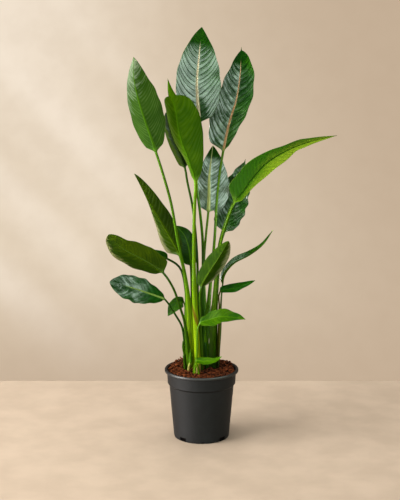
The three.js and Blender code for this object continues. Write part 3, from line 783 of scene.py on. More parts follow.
# %% [markdown]
# ## A whole leaf
#
# The stalk's section passes into the blade's over the first few hundredths of the blade. Each point also
# keeps a few numbers, such as its distance from the rib, which the finish reads later. The grid is closed
# with a small fan at the foot and another at the tip, so each leaf is one solid body.

# %% Leaf meshes
def leaf_grid(leaf, seed):
    """Points (rings, loop, 3) in millimetres, and what the finish needs to know at each of them."""
    spine = Spine(leaf)
    along, s = leaf_stations(spine, leaf["size"])
    t = np.minimum(1, along / spine.blade_start)
    foot_turn, base_turn, tip_turn = leaf["turn"]
    turn = np.where(s > 0, lerp(base_turn, tip_turn, s), lerp(foot_turn, base_turn, t))
    centre, up, across = spine.frames(along, turn)
    s, t, along = s[:, None], t[:, None], along[:, None]
    walk = section_walk(LOOP_STEPS[leaf["size"]])
    stalk_x, stalk_z = stalk_section(leaf, t, walk)
    blade_x, blade_z, notes = blade_section(leaf, s, spine.whole - spine.blade_start, walk, seed)
    blend = smooth(s, 0, 0.07)
    x, z = lerp(stalk_x, blade_x, blend), lerp(stalk_z, blade_z, blend)
    side = np.where(walk[2], 0.0, 1.0)
    notes |= {"side": side, "rib": np.abs(x), "across": walk[1], "along": s, "climb": t, "rise": along}
    notes["blade"] = blend
    points = centre[:, None] + across[:, None] * x[..., None] + up[:, None] * z[..., None]
    return points, {name: np.broadcast_to(values, x.shape) for name, values in notes.items()}


def tube(points, ends, inside_out=False):
    """Corners and faces of a closed tube from rings of points (rings, loop, 3). Each ring is joined to the
    next, and a fan closes each end on a point of its own. inside_out turns every face round."""
    rings, loop = points.shape[:2]
    i, j = np.meshgrid(np.arange(rings - 1), np.arange(loop), indexing="ij")
    a, b = i * loop + j, i * loop + (j + 1) % loop
    quads = np.stack([a, a + loop, b + loop, b], -1).reshape(-1, 4)
    edge = np.arange(loop)
    after = (edge + 1) % loop
    first, last = rings * loop, (rings - 1) * loop
    first_fan = np.stack([np.full(loop, first), edge, after], -1)
    last_fan = np.stack([np.full(loop, first + 1), last + after, last + edge], -1)
    fans = np.concatenate([first_fan, last_fan])
    if inside_out:
        quads, fans = quads[:, [0, 3, 2, 1]], fans[:, [0, 2, 1]]
    return np.concatenate([points.reshape(-1, 3), ends]), quads.tolist() + fans.tolist()


def leaf_object(leaf, seed):
    """The leaf's mesh with its notes as point attributes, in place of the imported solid."""
    points, notes = leaf_grid(leaf, seed)
    piece = new_piece(leaf["name"] + "_fine", *tube(points, points[[0, -1]].mean(1)))
    for name, values in notes.items():
        stored = np.concatenate([values.ravel(), values[[0, -1]].mean(1)]).astype(np.float32)
        piece.data.attributes.new(name, "FLOAT", "POINT").data.foreach_set("value", stored)
    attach(piece, "root")
    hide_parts(leaf["name"])
    return piece


leaf_pieces = {leaf["name"]: leaf_object(leaf, index) for index, leaf in enumerate(LEAVES)}
print("leaf triangles", sum(sum(len(p.vertices) - 2 for p in o.data.polygons) for o in leaf_pieces.values()))

# %% [markdown]
# ## How each leaf looks
#
# The upper face is deep green under a clear wax, and mirrors a pale window in bands between the side
# veins; on some leaves a painted sheen makes those bands paler, and painted shade darkens the grooves
# between the pillows. The underside is lighter and more matte, and some carry a pale bloom with a painted
# sheen. All leaves share one finish, and each row below says where a leaf differs. One material for all
# would need fewer numbers, but every leaf hangs at its own angle and age.

# %% Looks of each leaf
LOOK = dict(  # what a leaf has unless its own row says otherwise; colours from 0 to 255
    top=((14, 62, 0), (34, 92, 4)),  # upper face, and its second tone
    under=((50, 96, 0), (82, 126, 6)),  # underside, and its second tone
    shade=(0, 0, 0.5),  # share of the second tone, which on two rows is painted light and shade: per half across, per length, and everywhere
    grain=0.5,  # how far streaks and patches move that share
    bloom_and_sheen=(122, 156, 128), bloom_and_sheen_at=(0, 0, 0),  # pale wax on the underside, partly a painted sheen, placed as the second tone is
    rib=(140, 170, 80), rib_under=(84, 140, 10),  # the midrib on both faces
    rib_ends=(1.1, 1.2), rib_wide=1.0,  # on the upper face it fades between two shares of the length
    gloss=(0.5, 0.5), gloss_under=0.0,  # right half and left half of the upper face, and the underside
    gloss_ends=(1.2, 1.1),  # no gloss at the first share of the length, and all of it at the second
    streaks=0.5, marble=0.0, blotch=0.0,  # take gloss away: streaks along the veins, specks, large patches
    painted_sheen=0.0,  # a pale painted sheen laid over the glossy places
    groove_shade=0.6, valley=(0.5, 0.15),  # painted shade in the grooves between the pillows, and how wide they are
    ridge_highlights=0.0,  # painted highlights along the pillows of the underside
    edge=(86, 126, 20), glow=(90, 140, 0),  # the thin margin, and light that passes through the sheet
    stalk=((110, 160, 0), (92, 146, 2)),  # low and high; a much darker low tone is partly painted shade in the crowded clump
    dry=0.0, seam=None,  # straw tone at the stalk's foot, and the heights of a brown seam that crosses it
)
LOOKS = {
    "leaf_top": dict(
        rib=(234, 232, 194), rib_ends=(0.74, 0.86), rib_wide=1.6, gloss=(1.0, 1.0), gloss_ends=(0.84, 0.75),
        groove_shade=0.85, painted_sheen=0.15, stalk=((34, 86, 0), (66, 122, 4))),
    "leaf_upper_right": dict(
        top=((14, 70, 0), (56, 122, 10)), shade=(0.35, -0.3, 0.5), painted_sheen=0.55, blotch=0.5, marble=0.1,
        rib=(234, 200, 152), rib_ends=(0.8, 0.9), rib_wide=1.15, gloss=(0.28, 1.0), gloss_ends=(0.86, 0.78),
        groove_shade=0.75, valley=(0.7, 0.3), streaks=0.8, stalk=((40, 92, 0), (92, 148, 6))),
    "leaf_upper_left": dict(
        under=((42, 84, 10), (68, 112, 30)), bloom_and_sheen_at=(0.5, 2.0, -1.15), bloom_and_sheen=(152, 180, 146), ridge_highlights=0.25,
        rib_under=(88, 148, 20), groove_shade=1.0, stalk=((150, 192, 0), (92, 150, 6))),
    "leaf_upper_front": dict(
        under=((62, 116, 0), (92, 148, 0)), shade=(0.35, 0.5, 0.3), rib_under=(82, 142, 0), dry=0.8,
        bloom_and_sheen_at=(1.4, -0.3, -0.4), bloom_and_sheen=(112, 150, 50), seam=(168, 262), groove_shade=0.7, ridge_highlights=0.12,
        stalk=((172, 210, 0), (124, 184, 0))),
    # painted shade: the dark second tone on one half is the shaded inside of the roll
    "leaf_upper_rolled": dict(
        under=((56, 82, 0), (22, 38, 20)), shade=(-2.2, 0.5, 1.3), rib_under=(40, 64, 0),
        stalk=((66, 112, 4), (58, 104, 8))),
    "leaf_mid_back": dict(
        rib=(222, 246, 160), rib_wide=1.8, gloss=(1.3, 1.3), gloss_ends=(0.86, 0.7), marble=0.3, groove_shade=0.8,
        streaks=0.7, painted_sheen=1.0, stalk=((40, 92, 0), (110, 160, 30))),
    "leaf_mid_right_back": dict(
        top=((14, 70, 0), (44, 108, 4)), rib=(60, 110, 10), gloss=(0.7, 0.7), marble=0.3, painted_sheen=0.35,
        blotch=0.7, groove_shade=0.8, streaks=0.7, stalk=((22, 64, 0), (80, 130, 10))),
    # painted light: the pale second tone on the lower half and towards the tip stands for light falling on
    # and through it
    "leaf_long_right": dict(
        top=((46, 102, 0), (120, 152, 28)), shade=(0.55, 1.0, 0.0), grain=0.14, rib=(38, 82, 0),
        gloss=(0.0, 0.0), groove_shade=0.5, edge=(150, 186, 60), stalk=((34, 84, 0), (100, 150, 10))),
    "leaf_left_narrow": dict(
        under=((44, 74, 0), (66, 98, 0)), rib_under=(88, 126, 4), bloom_and_sheen_at=(3.0, -0.6, -1.75),
        bloom_and_sheen=(178, 180, 130), ridge_highlights=0.25, stalk=((130, 178, 0), (92, 144, 2))),
    "leaf_left_inner": dict(
        top=((22, 64, 0), (42, 92, 2)), rib=(90, 150, 20), gloss=(0.05, 0.05),
        stalk=((44, 96, 0), (66, 120, 4))),
    "leaf_left_broad": dict(
        under=((40, 70, 0), (72, 102, 0)), shade=(-0.5, 0.2, 0.35), rib_under=(70, 104, 4),
        bloom_and_sheen_at=(1.8, 1.2, -1.95), bloom_and_sheen=(150, 156, 104), gloss_under=0.02,
        stalk=((76, 124, 2), (56, 100, 2))),
    "leaf_left_hidden": dict(
        top=((14, 54, 0), (28, 76, 0)), rib=(60, 104, 6), gloss=(0.05, 0.05),
        stalk=((44, 88, 0), (38, 76, 2))),
    "leaf_left_glossy": dict(
        top=((12, 64, 0), (32, 98, 14)), rib=(150, 192, 90), rib_ends=(0.6, 0.8), rib_wide=1.3,
        gloss=(0.85, 0.85), gloss_ends=(0.2, 0.55), painted_sheen=0.35, blotch=0.65, marble=0.1, groove_shade=0.4,
        streaks=0.7, stalk=((50, 100, 0), (44, 94, 2))),
    "leaf_left_small": dict(
        top=((30, 78, 0), (52, 102, 2)), rib=(60, 112, 6), gloss=(0.05, 0.05),
        stalk=((48, 100, 0), (54, 108, 2))),
    "leaf_front_folded": dict(
        under=((44, 82, 0), (66, 106, 4)), shade=(0.2, 0.3, 0.3), bloom_and_sheen_at=(-2.4, 0.4, -1.4),
        bloom_and_sheen=(156, 176, 128), rib_under=(76, 112, 6), stalk=((84, 140, 0), (74, 124, 2))),
    "leaf_right_narrow": dict(
        top=((24, 74, 0), (54, 108, 10)), rib=(120, 160, 60), gloss_ends=(0.6, 0.35), painted_sheen=1.0,
        stalk=((28, 70, 0), (96, 134, 60))),
    "leaf_right_small": dict(
        top=((18, 84, 0), (40, 114, 0)), rib=(54, 118, 4), gloss=(0.04, 0.04),
        stalk=((30, 72, 0), (104, 112, 30))),
    "leaf_front_low": dict(
        top=((34, 90, 0), (76, 124, 4)), rib=(84, 138, 6), gloss=(0.03, 0.03),
        stalk=((128, 176, 0), (96, 152, 2))),
    "leaf_soil_low": dict(
        top=((54, 108, 0), (84, 138, 2)), rib=(92, 150, 6), gloss=(0.04, 0.04),
        stalk=((150, 180, 40), (110, 166, 2))),
    "sheath_left": dict(stalk=((76, 124, 0), (56, 100, 0)), under=((52, 96, 0), (66, 110, 2))),
    "sheath_front": dict(stalk=((120, 160, 30), (150, 176, 60)), dry=0.7),
    # these two sheaths deep in the clump are dark partly by their own green, partly as painted shade
    "sheath_mid": dict(stalk=((28, 84, 0), (36, 96, 2)), under=((34, 92, 0), (46, 106, 2))),
    "sheath_back": dict(
        stalk=((12, 58, 0), (18, 68, 0)), top=((14, 60, 0), (20, 68, 0)), under=((14, 60, 0), (20, 68, 0))),
}
print("looks for", len(LOOKS), "leaves")

# %% [markdown]
# ## Patterns that follow the veins
#
# The notes on the grid place every pattern: the phase gives the pillows, the vein's own number stretches
# noise into streaks along it, and plain noise gives specks and patches. A picture wrapped on the leaf
# would need a flat map of it, while these numbers already follow its shape.

# %% Patterns
NOTES = ("side", "rib", "vein", "phase", "across", "along", "blade", "rise", "keel", "climb")
SPECKS, PATCHES, BLOTCHES = 130.0, 20.0, 42.0  # to the metre
STREAKS = (0.075, 0.8)  # to the millimetre of the midrib: wide ones and fine ones


def leaf_patterns(recipe, look, seed):
    """The notes and the patterns as sockets. A pillow is the size of the sine of half the phase: 0 in a
    valley and 1 on a ridge. The second tone's share is the look's shade, moved by streaks and patches."""
    p = SimpleNamespace(**{name: recipe.attribute(name) for name in NOTES})
    p.pillow = (p.phase * 0.5).math("SINE").math("ABSOLUTE")
    p.far = p.rib.step(1.0, 9.0)  # millimetres from the rib
    p.groove = p.pillow.step(*look["valley"]) * p.far
    wide, narrow = (recipe.combine(p.vein * pitch, p.rib * 0.03, float(seed)) for pitch in STREAKS)
    p.streak = recipe.noise(wide, 1.0, 4.0, 0.65).step(0.38, 0.62)
    p.fine = recipe.noise(narrow, 1.0, 1.0)
    p.speck = recipe.noise(recipe.place(), SPECKS, 3.0, 0.65).step(0.42, 0.58)
    p.patch = recipe.noise(recipe.place(), PATCHES).step(0.3, 0.7)
    p.blotch = recipe.noise(recipe.place(), BLOTCHES, 3.0, 0.6).step(0.36, 0.6)
    p.fibre = recipe.noise(recipe.combine(p.across * 7.0, p.rise * 0.006, float(seed)), 1.0, 3.0)
    grained = (p.streak - 0.5) * look["grain"] + (p.patch - 0.5) * look["grain"]
    p.second = (placed(p, look["shade"]) + grained).step()
    return p


def placed(p, weights):
    """The way across times one weight, plus the way along times another, plus a third."""
    return p.across * weights[0] + p.along * weights[1] + weights[2]


def two_tones(look, key):
    """Both colours of a pair in the look."""
    return [srgb(*colour) for colour in look[key]]


print("notes on each leaf", NOTES)

# %% [markdown]
# ## Upper face, underside and stalk
#
# Each part's colour starts with two greens and takes what lies on it, one mix after the other, as a
# painter glazes: painted shade in the grooves between the pillows, a painted sheen on the upper face,
# bloom with a painted sheen and painted highlights on the ridges below, and the midrib last. The gloss is a
# mask of its own, because the painted sheen only pales the places that shine.

# %% Colours of a leaf
# the first two are painted light: a pale painted sheen, and the painted highlight of the pillows' ridges; the
# seam and the straw are the stalk's own colours
SHEEN_TONE, RIDGE_HIGHLIGHT, SEAM, STRAW = (132, 166, 146), (112, 142, 84), (118, 80, 18), (176, 158, 96)


def upper_face(recipe, look, p):
    """Colour and shine. The shine is each half's gloss, less towards the tip, in the grooves, and by streaks,
    specks and patches, and none on the rib."""
    low, high = 1.1 * look["rib_wide"], 1.9 * look["rib_wide"]
    on_rib = (p.rib / p.keel).step(high, low) * p.along.step(look["rib_ends"][1], look["rib_ends"][0])
    right_gloss, left_gloss = look["gloss"]
    shine = recipe.between(p.across.step(-0.02, 0.02), left_gloss, right_gloss)
    shine = shine * p.along.step(*look["gloss_ends"]) * (1.0 - p.groove * look["groove_shade"])
    shine = shine * (1.0 - look["streaks"] + p.streak * look["streaks"])
    shine = shine * (1.0 - p.speck * look["marble"]) * (1.0 - p.blotch * look["blotch"]) * (1.0 - on_rib)
    colour = recipe.mix(p.second, *two_tones(look, "top"))
    # painted shade: the grooves take a darker copy of the first tone
    colour = recipe.mix(p.groove * look["groove_shade"] * 0.7, colour, dimmed(look["top"][0], 0.6))
    # painted sheen: a pale tone laid where the coat shines
    colour = recipe.mix(shine * look["painted_sheen"], colour, srgb(*SHEEN_TONE))
    return recipe.mix(on_rib, colour, srgb(*look["rib"])), shine


def underside(recipe, look, p):
    """Bloom and painted sheen where the look places it, painted highlights on the pillows and painted shade
    in the grooves, both of uneven strength, then the keel.
    """
    uneven = 0.3 + 0.7 * p.streak
    # the pale bloom, partly a painted sheen, where the look places it
    bloom_and_sheen = (placed(p, look["bloom_and_sheen_at"]) + (p.streak - 0.5) * 0.5).step()
    colour = recipe.mix(p.second, *two_tones(look, "under"))
    colour = recipe.mix(bloom_and_sheen, colour, srgb(*look["bloom_and_sheen"]))
    # painted highlights on the crests of the pillows
    colour = recipe.mix(p.pillow.step(0.7, 0.98) * p.far * uneven * look["ridge_highlights"], colour, srgb(*RIDGE_HIGHLIGHT))
    # painted shade: the grooves take a darker copy of the underside's first tone
    colour = recipe.mix(p.groove * uneven * look["groove_shade"] * 0.9, colour, dimmed(look["under"][0], 0.45))
    return recipe.mix((p.rib / p.keel).step(2.6, 1.0), colour, srgb(*look["rib_under"]))


def stalk_face(recipe, look, p):
    """From the low tone to the high one, where a darker low tone is partly painted shade in the clump, with
    dark fibres, a brown seam that crosses the front between two heights, and straw at the foot."""
    colour = recipe.mix(p.climb.step(0.05, 0.6), *two_tones(look, "stalk"))
    colour = recipe.mix(p.fibre.step(0.42, 0.62) * 0.75, colour, dimmed(look["stalk"][1], 0.42))
    if look["seam"]:
        low, high = look["seam"]
        off_seam = (p.across - (p.rise - low) * (2 / (high - low)) + 1.0).math("ABSOLUTE")
        colour = recipe.mix(off_seam.step(0.5, 0.15) * 0.75, colour, srgb(*SEAM))
    return recipe.mix(p.rise.step(72.0, 52.0) * look["dry"], colour, srgb(*STRAW))


# prints the painted sheen's tone, and the bloom's tone with its painted sheen
print("dust is", SHEEN_TONE, "and bloom is", LOOK["bloom_and_sheen"])

# %% [markdown]
# ## Leaf finish
#
# Light also passes through the thin sheet, so a leaf lit from behind glows yellow-green. A Principled
# shader gives the wax, a Translucent shader gives the glow, and a Mix shader joins them on the blade only.
# The Principled shader's own transmission would turn the sheet to glass.

# %% Leaf finish
GLOW_SHARE = 0.18  # of the blade's light comes through the sheet
STALK_GLOSS = 0.05


def leaf_finish(leaf, seed):
    """The material of one leaf, from its look."""
    look = {**LOOK, **LOOKS[leaf["name"]]}
    recipe = new_recipe("finish_" + leaf["name"])
    p = leaf_patterns(recipe, look, seed)
    is_top = p.side.step(0.3, 0.7)
    top, shine = upper_face(recipe, look, p)
    sheet = recipe.mix(is_top, underside(recipe, look, p), top)
    sheet = recipe.mix(p.across.math("ABSOLUTE").step(0.965, 0.995) * 0.5, sheet, srgb(*look["edge"]))
    colour = recipe.mix(p.blade, stalk_face(recipe, look, p), sheet)
    coat = recipe.between(p.blade, STALK_GLOSS, recipe.between(is_top, look["gloss_under"], shine))
    height = p.blade * p.far * (p.pillow * 0.8 + p.fine * 0.25) + p.fibre * (1.0 - p.blade) * 0.6
    wax = recipe.principled(
        Base_Color=colour, Roughness=p.fine * 0.15 + 0.45, Specular_IOR_Level=0.02, Coat_Weight=coat,
        Coat_Roughness=0.2, Coat_IOR=1.8, Normal=recipe.bump(0.6, 0.0005, height))
    glow = recipe.add("ShaderNodeBsdfTranslucent", None, srgb(*look["glow"]))
    skin = recipe.finish(recipe.add("ShaderNodeMixShader", None, p.blade * GLOW_SHARE, wax, glow))
    leaf_pieces[leaf["name"]].data.materials.append(skin)


for index, leaf in enumerate(LEAVES):
    leaf_finish(leaf, index)
print("leaf finishes", len(LEAVES))

# %% [markdown]
# ## The pot
#
# A nursery pot is blow-moulded or injection-moulded in one piece: a rolled lip, a collar with a small
# step under it, and a plain cone. All of it is round, so a profile turned about the axis gives the whole
# body. A Screw modifier would turn it too, but the profile's corners are rounded more easily as numbers.

# %% Turned profile
def rounded(outline, radius=1.0, steps=5):
    """Each corner gives way to a short curve: a quadratic from a point before it to a point after it, which
    lie the radius away, or 0.45 of the way to the next corner where that is less."""
    points = np.array(outline, float)
    corner = points[1:-1]
    before, after = points[:-2] - corner, points[2:] - corner
    start, end = (corner + unit(way) * np.minimum(radius, np.linalg.norm(way, axis=1) * 0.45)[:, None]
                  for way in (before, after))
    w = np.linspace(0, 1, steps)[None, :, None]
    curve = start[:, None] * (1 - w) ** 2 + 2 * corner[:, None] * w * (1 - w) + end[:, None] * w**2
    return np.vstack([points[:1], curve.reshape(-1, 2), points[-1:]])


def turned(profile, steps, lift=lambda x, y, z: z):
    """A profile of radius and height carried round the axis, with one point for each end on the axis. The
    lift may change each point's height."""
    angle = np.linspace(0, 2 * np.pi, steps, endpoint=False)
    ring = profile[1:-1]
    x, y = ring[:, :1] * np.cos(angle), ring[:, :1] * np.sin(angle)
    z = lift(x, y, ring[:, 1:] * np.ones_like(x))
    ends = np.array([[0, 0, profile[0, 1]], [0, 0, profile[-1, 1]]])
    return tube(np.stack([x, y, z], -1), ends, inside_out=True)


print("a square corner becomes", len(rounded([[0, 0], [5, 0], [5, 5]])) - 2, "points")

# %% [markdown]
# ## The pot's profile
#
# The profile runs from the middle of the underside, out along the foot, up the cone and the collar, over
# the lip and down the inner wall to the middle of the floor. The floor stands on a flat disc and a ring,
# with a water channel between them. Each number is a radius or a height, so the shape is easy to change.

# %% Pot shell
POT = dict(  # radii and heights, in millimetres
    height=200, rim=105, lip=9,  # the rolled lip's radius and its own height
    collar_top=98, collar_foot=96.5, collar_low=158,  # the collar's two radii, and where it ends
    shoulder=92, shoulder_at=154, foot=79, foot_at=5,  # the cone's top and foot
    wall=2, floor=3, disc=46, channel=6, ring=72.5,  # thicknesses, and what is under the floor
)
CONE_SLOPE = 0.09  # the cone's radius grows by this much for each millimetre of height
NOTCH_RINGS = (12, 15)  # rings just over the notches keep the cut's triangles short
POT_STEPS = 240


def inside_radius(z):
    """Inner wall: the outer cone, or the collar above it, less the wall."""
    cone = (z - POT["foot_at"]) / (POT["shoulder_at"] - POT["foot_at"])
    collar = (z - POT["collar_low"]) / (POT["height"] - POT["lip"] - POT["collar_low"])
    if cone <= 1:
        return lerp(POT["foot"], POT["shoulder"], cone) - POT["wall"]
    return lerp(POT["collar_foot"], POT["collar_top"], max(0, collar)) - POT["wall"]


lip_foot = POT["height"] - POT["lip"]
channel_top = POT["channel"] + POT["floor"]
underneath = [
    [0, 0], [POT["disc"], 0], [POT["disc"] + 2, POT["channel"]], [POT["ring"] - 2, POT["channel"]],
    [POT["ring"], 0], [POT["foot"] - 2.6, 0], [POT["foot"] - 0.7, 1.2],
]
outside = [
    [POT["foot"], POT["foot_at"]],
    *([POT["foot"] + CONE_SLOPE * (z - POT["foot_at"]), z] for z in NOTCH_RINGS),
    [POT["shoulder"], POT["shoulder_at"]],
    [POT["collar_foot"], POT["collar_low"]], [POT["collar_top"], lip_foot],
]
rolled_lip = [
    [POT["rim"] - 1.4, lip_foot + 0.3], [POT["rim"], lip_foot + 1.8],
    [POT["rim"], POT["height"] - 2.4], [POT["rim"] - 1.5, POT["height"] - 0.4],
    [POT["rim"] - 3.4, POT["height"]], [POT["rim"] - 6, POT["height"] - 0.6],
    [POT["rim"] - 8, POT["height"] - 3],
]
inside = [
    [inside_radius(lip_foot), lip_foot], [inside_radius(POT["collar_low"]), POT["collar_low"] + 0.5],
    [inside_radius(POT["shoulder_at"]), POT["shoulder_at"] + 0.5], [inside_radius(channel_top), channel_top],
    [POT["disc"] + 0.5, channel_top], [POT["disc"] - 1.5, POT["floor"]], [0, POT["floor"]],
]
pot_profile = rounded(underneath + outside + rolled_lip + inside)
pot = new_piece("pot_shell", *turned(pot_profile, POT_STEPS))
print("pot profile points", len(pot_profile))

# %% [markdown]
# ## Drain notches
#
# Four notches and four narrow slots let water out at the foot, as the mould's inserts leave them. Boxes
# are taken from the shell with a Boolean, and its result is kept as a plain mesh. Notches modelled into
# the turned profile would need a grid of their own at the foot.

# %% Drain notches
NOTCH_INNER = 76.2  # how near to the axis the boxes reach
NOTCHES = (  # width, height, and the first angle of four
    (22, 12, 48),
    (9, 5, 3),
)
BOX_FACES = np.array([[0, 1, 3, 2], [4, 6, 7, 5], [0, 4, 5, 1], [2, 3, 7, 6], [0, 2, 6, 4], [1, 5, 7, 3]])


def notch_box(width, height, angle):
    """Eight corners of a box on the front side of the axis, turned about it. It reaches as far below the
    floor as above it, and outwards as far as the shoulder."""
    sides, depths = [-width / 2, width / 2], [-POT["shoulder"], -NOTCH_INNER]
    x, y, z = np.meshgrid(sides, depths, [-height, height], indexing="ij")
    cos, sin = math.cos(math.radians(angle)), math.sin(math.radians(angle))
    return np.stack([x * cos - y * sin, x * sin + y * cos, z], -1).reshape(-1, 3)


boxes = [notch_box(width, height, first + 90 * k) for width, height, first in NOTCHES for k in range(4)]
box_faces = np.concatenate([BOX_FACES + 8 * k for k in range(len(boxes))]).tolist()
cutter = new_piece("notch_cutter", np.concatenate(boxes), box_faces, smooth_faces=False)
cut = pot.modifiers.new("notches", "BOOLEAN")
cut.operation, cut.object, cut.solver = "DIFFERENCE", cutter, "EXACT"
bpy.context.view_layer.update()
notched = bpy.data.meshes.new_from_object(pot.evaluated_get(bpy.context.evaluated_depsgraph_get()))
pot.modifiers.clear()
pot.data = notched
bpy.data.objects.remove(cutter)
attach(pot, "root")
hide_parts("pot")
print("pot faces", len(pot.data.polygons))

# %% [markdown]
# ## Black polypropylene
#
# The plastic is nearly black, satin, a little scuffed and finely textured, and its rolled lip shines more
# than the wall. The notches go right through on the real pot, with the soil and the roots behind them in
# shade, so their faces here are painted shade: nearly black and without shine. A dark bump would not do,
# because a lamp still lights it.

# %% Pot finish
NOTCH_SHADE_REACH = (0.0779, 0.0773)  # metres from the axis, over which the painted shade of the notch begins
NOTCH_SHADE_TOP = (0.0126, 0.0121)  # and metres of height
LIP_SHINE = (0.188, 0.196)

recipe = new_recipe("black_polypropylene")
scuff = recipe.noise(recipe.place(), 35.0, 4.0)
texture = recipe.noise(recipe.place(), 900.0)
place = recipe.add("ShaderNodeSeparateXYZ", None, recipe.place())
height = place.other(2)
outwards = recipe.combine(place, place.other(1), 0.0)
away = recipe.add("ShaderNodeVectorMath", {"operation": "LENGTH"}, outwards, out=1)
# painted shade in the notches: nearly black, and metallic so that they give no shine
notch_shade = away.step(*NOTCH_SHADE_REACH) * height.step(*NOTCH_SHADE_TOP)
tone = recipe.mix(scuff.step(0.4, 0.75) * 0.5, srgb(11, 12, 15), srgb(21, 22, 26))
tone = recipe.mix(notch_shade, tone, srgb(2, 2, 2))
pot.data.materials.clear()
pot.data.materials.append(recipe.finish(recipe.principled(
    Base_Color=tone, Roughness=0.5 + scuff * 0.12, Metallic=notch_shade, Coat_Weight=height.step(*LIP_SHINE) * 0.45,
    Coat_Roughness=0.3, Specular_IOR_Level=0.17, Normal=recipe.bump(0.25, 0.0002, texture))))
print("pot finish", recipe.owner.name)

# %% [markdown]
# ## The soil
#
# Potting mix for such a plant is mostly coir: reddish chips, crumbs and threads with dark gaps between
# them. A height field gives the bed its heaps, and loose chips lie on it. A bump map alone would look like
# a painted disc at the rim, where the bed is seen almost level.

# %% Soil bed
SOIL_HEIGHT, SOIL_HEAP, SOIL_BUMP = 193, 7, 1.6
HEAP_LEFT, HEAP_RIGHT = (-60, 62, 1500), (74, 44, 1200)  # place, and the square of the reach
SOIL_GAP = 0.3  # between the mix and the pot
SOIL_STEPS, SOIL_RINGS = 160, 48
IS_TOP = 500  # outline points at this height are laid on the height field


def heap(x, y, middle_x, middle_y, reach):
    """A bell: e to the power of minus the squared distance from its middle over the square of its reach."""
    return np.exp(-((x - middle_x) ** 2 + (y - middle_y) ** 2) / reach)


def heaps(x, y):
    """The higher of the two bells."""
    return np.maximum(heap(x, y, *HEAP_LEFT), heap(x, y, *HEAP_RIGHT))


def soil_height(x, y):
    """Level height, plus the highest of two bell-shaped heaps and a flat-topped mound, plus crossed sines."""
    mound = np.exp(-(((x / 52) ** 2 + ((y - 14) / 42) ** 2) ** 2))
    bumps = np.sin(x / 7.3 + 1) * np.sin(y / 6.1) + 0.6 * np.sin(x / 3.9 - y / 4.7)
    return SOIL_HEIGHT + SOIL_HEAP * np.maximum(heaps(x, y), mound) + SOIL_BUMP * bumps


def soil_top(x, y, z):
    """The height field with half a millimetre of crumbs on it, where the outline asks for it."""
    rough = 0.5 * np.sin(x / 1.7 + 2 * np.sin(y / 2.3)) * np.sin(y / 1.9 + x / 5)
    return np.where(z == IS_TOP, soil_height(x, y) + rough, z)


floor_top, channel_floor = POT["floor"] + SOIL_GAP, channel_top + SOIL_GAP
edge_radius = inside_radius(SOIL_HEIGHT) - SOIL_GAP
soil_outline = [
    [0, floor_top], [POT["disc"] - 2.5, floor_top], [POT["disc"] - 0.5, channel_floor],
    [inside_radius(channel_floor) - SOIL_GAP, channel_floor],
    [inside_radius(POT["shoulder_at"]) - SOIL_GAP, POT["shoulder_at"] + 1.5],
    [inside_radius(POT["collar_low"]) - SOIL_GAP, POT["collar_low"] + 4], [edge_radius, SOIL_HEIGHT - 2],
    *([edge_radius * share, IS_TOP] for share in np.linspace(0.97, 0.02, SOIL_RINGS)), [0, IS_TOP],
]
points, faces = turned(np.array(soil_outline, float), SOIL_STEPS, soil_top)
points[-1, 2] = soil_height(0, 0)
soil = new_piece("soil_bed", points, faces)
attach(soil, "root")
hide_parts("soil")
print("soil triangles about", 2 * len(faces))

# %% [markdown]
# ## Coir chips
#
# About three thousand small chips lie on the bed in a seeded scatter, thicker on the heaps and clear of
# the stalks. Each is a knob of twenty faces, stretched to a flake. A particle system would scatter them as
# well, but arrays put them all into one mesh at once.

# %% Coir chips
CHIP_COUNT, CHIP_CORNERS = 3200, 12
CHIP_PILE = 9  # millimetres of loose chips over the two heaps
CHIP_TILT = 0.45  # radians
rng = np.random.default_rng(7)
golden = (1 + 5**0.5) / 2
knob = unit(np.array([
    [-1, golden, 0], [1, golden, 0], [-1, -golden, 0], [1, -golden, 0], [0, -1, golden], [0, 1, golden],
    [0, -1, -golden], [0, 1, -golden], [golden, 0, -1], [golden, 0, 1], [-golden, 0, -1], [-golden, 0, 1],
]))
knob_faces = np.array([
    [0, 11, 5], [0, 5, 1], [0, 1, 7], [0, 7, 10], [0, 10, 11], [1, 5, 9], [5, 11, 4], [11, 10, 2], [10, 7, 6],
    [7, 1, 8], [3, 9, 4], [3, 4, 2], [3, 2, 6], [3, 6, 8], [3, 8, 9], [4, 9, 5], [2, 4, 11], [6, 2, 10],
    [8, 6, 7], [9, 8, 1],
])


def turns_about(axis, angle):
    """Rotation matrices about one axis: cosine and sine in the plane of the other two, 1 on the axis."""
    first, second = (axis + 1) % 3, (axis + 2) % 3
    turns = np.zeros((len(angle), 3, 3))
    turns[:, axis, axis] = 1
    turns[:, first, first] = turns[:, second, second] = np.cos(angle)
    turns[:, second, first] = np.sin(angle)
    turns[:, first, second] = -np.sin(angle)
    return turns


def free_places(count):
    """Places on the bed that no stalk takes. Radius grows with the square root of a random share, which
    spreads them evenly over the disc."""
    radius = (edge_radius - 4) * np.sqrt(rng.random(count))
    angle = rng.random(count) * 2 * np.pi
    x, y = radius * np.cos(angle), radius * np.sin(angle)
    feet = np.array([leaf["foot"] for leaf in LEAVES], float)
    room = np.array([leaf["stem"][0] for leaf in LEAVES]) + 3
    clear = (np.hypot(x[:, None] - feet[:, 0], y[:, None] - feet[:, 1]) > room).all(1)
    return x[clear], y[clear]


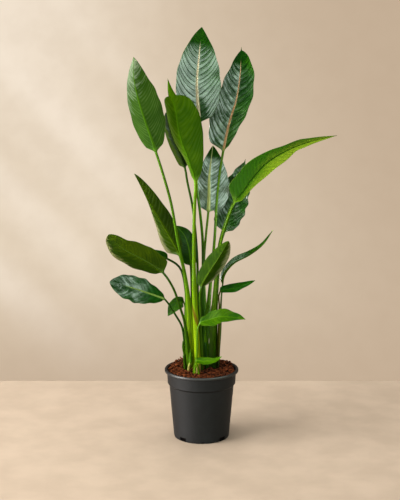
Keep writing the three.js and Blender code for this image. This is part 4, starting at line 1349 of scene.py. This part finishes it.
def scattered_chips(count):
    """Knobs stretched to flakes, each turned by three random angles and laid on the bed."""
    x, y = free_places(count)
    n = len(x)
    size = rng.uniform(1.5, 6.5, n) * rng.uniform(0.5, 1.1, n)
    stretch = np.stack([size, size * rng.uniform(0.4, 0.8, n), size * rng.uniform(0.25, 0.5, n)], -1)
    pile = CHIP_PILE * rng.random(n) * heaps(x, y)
    lumps = knob[None] * stretch[:, None] * rng.uniform(0.75, 1.25, (n, CHIP_CORNERS, 1))
    spin, lean, roll = rng.uniform(0, 2 * np.pi, n), rng.normal(0, CHIP_TILT, n), rng.normal(0, CHIP_TILT, n)
    turns = turns_about(2, spin) @ turns_about(0, lean) @ turns_about(1, roll)
    lumps = np.einsum("nij,nkj->nki", turns, lumps)
    lumps += np.stack([x, y, soil_height(x, y) + 0.35 * size + pile], -1)[:, None]
    faces = (knob_faces[None] + CHIP_CORNERS * np.arange(n)[:, None, None]).reshape(-1, 3)
    return lumps.reshape(-1, 3), faces.tolist(), np.repeat(rng.random(n), CHIP_CORNERS)


points, faces, tones = scattered_chips(CHIP_COUNT)
chips = new_piece("coir_chips", points, faces, smooth_faces=False)
chips.data.attributes.new("tone", "FLOAT", "POINT").data.foreach_set("value", tones.astype(np.float32))
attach(chips, "root")
print("chips", len(tones) // CHIP_CORNERS)

# %% [markdown]
# ## Soil finishes
#
# The bed between the chips is nearly black and rough: partly the fine mix's own dark, partly painted shade
# in the gaps. The chips run from dark to reddish brown, each in one tone of its own with a little noise over
# it. One material for both would be simpler, but the dark gaps are what makes the mix look loose.

# %% Soil finishes
recipe = new_recipe("coir_bed")
crumbs = recipe.noise(recipe.place(), 190.0, 4.0, 0.7)
# nearly black: partly the fine mix's own dark, partly painted shade in the gaps between chips
tone = recipe.mix(crumbs.step(0.35, 0.65), srgb(6, 3, 2), srgb(44, 20, 10))
soil.data.materials.append(recipe.finish(recipe.principled(
    Base_Color=tone, Roughness=0.95, Specular_IOR_Level=0.05, Normal=recipe.bump(0.9, 0.003, crumbs))))

recipe = new_recipe("coir_chip")
tone = recipe.mix(recipe.attribute("tone"), srgb(40, 16, 6), srgb(140, 74, 38))
tone = recipe.mix(recipe.noise(recipe.place(), 700.0).step(0.4, 0.7) * 0.5, tone, srgb(60, 26, 12))
chips.data.materials.append(recipe.finish(recipe.principled(
    Base_Color=tone, Roughness=0.9, Specular_IOR_Level=0.05)))
print("soil finishes ready")
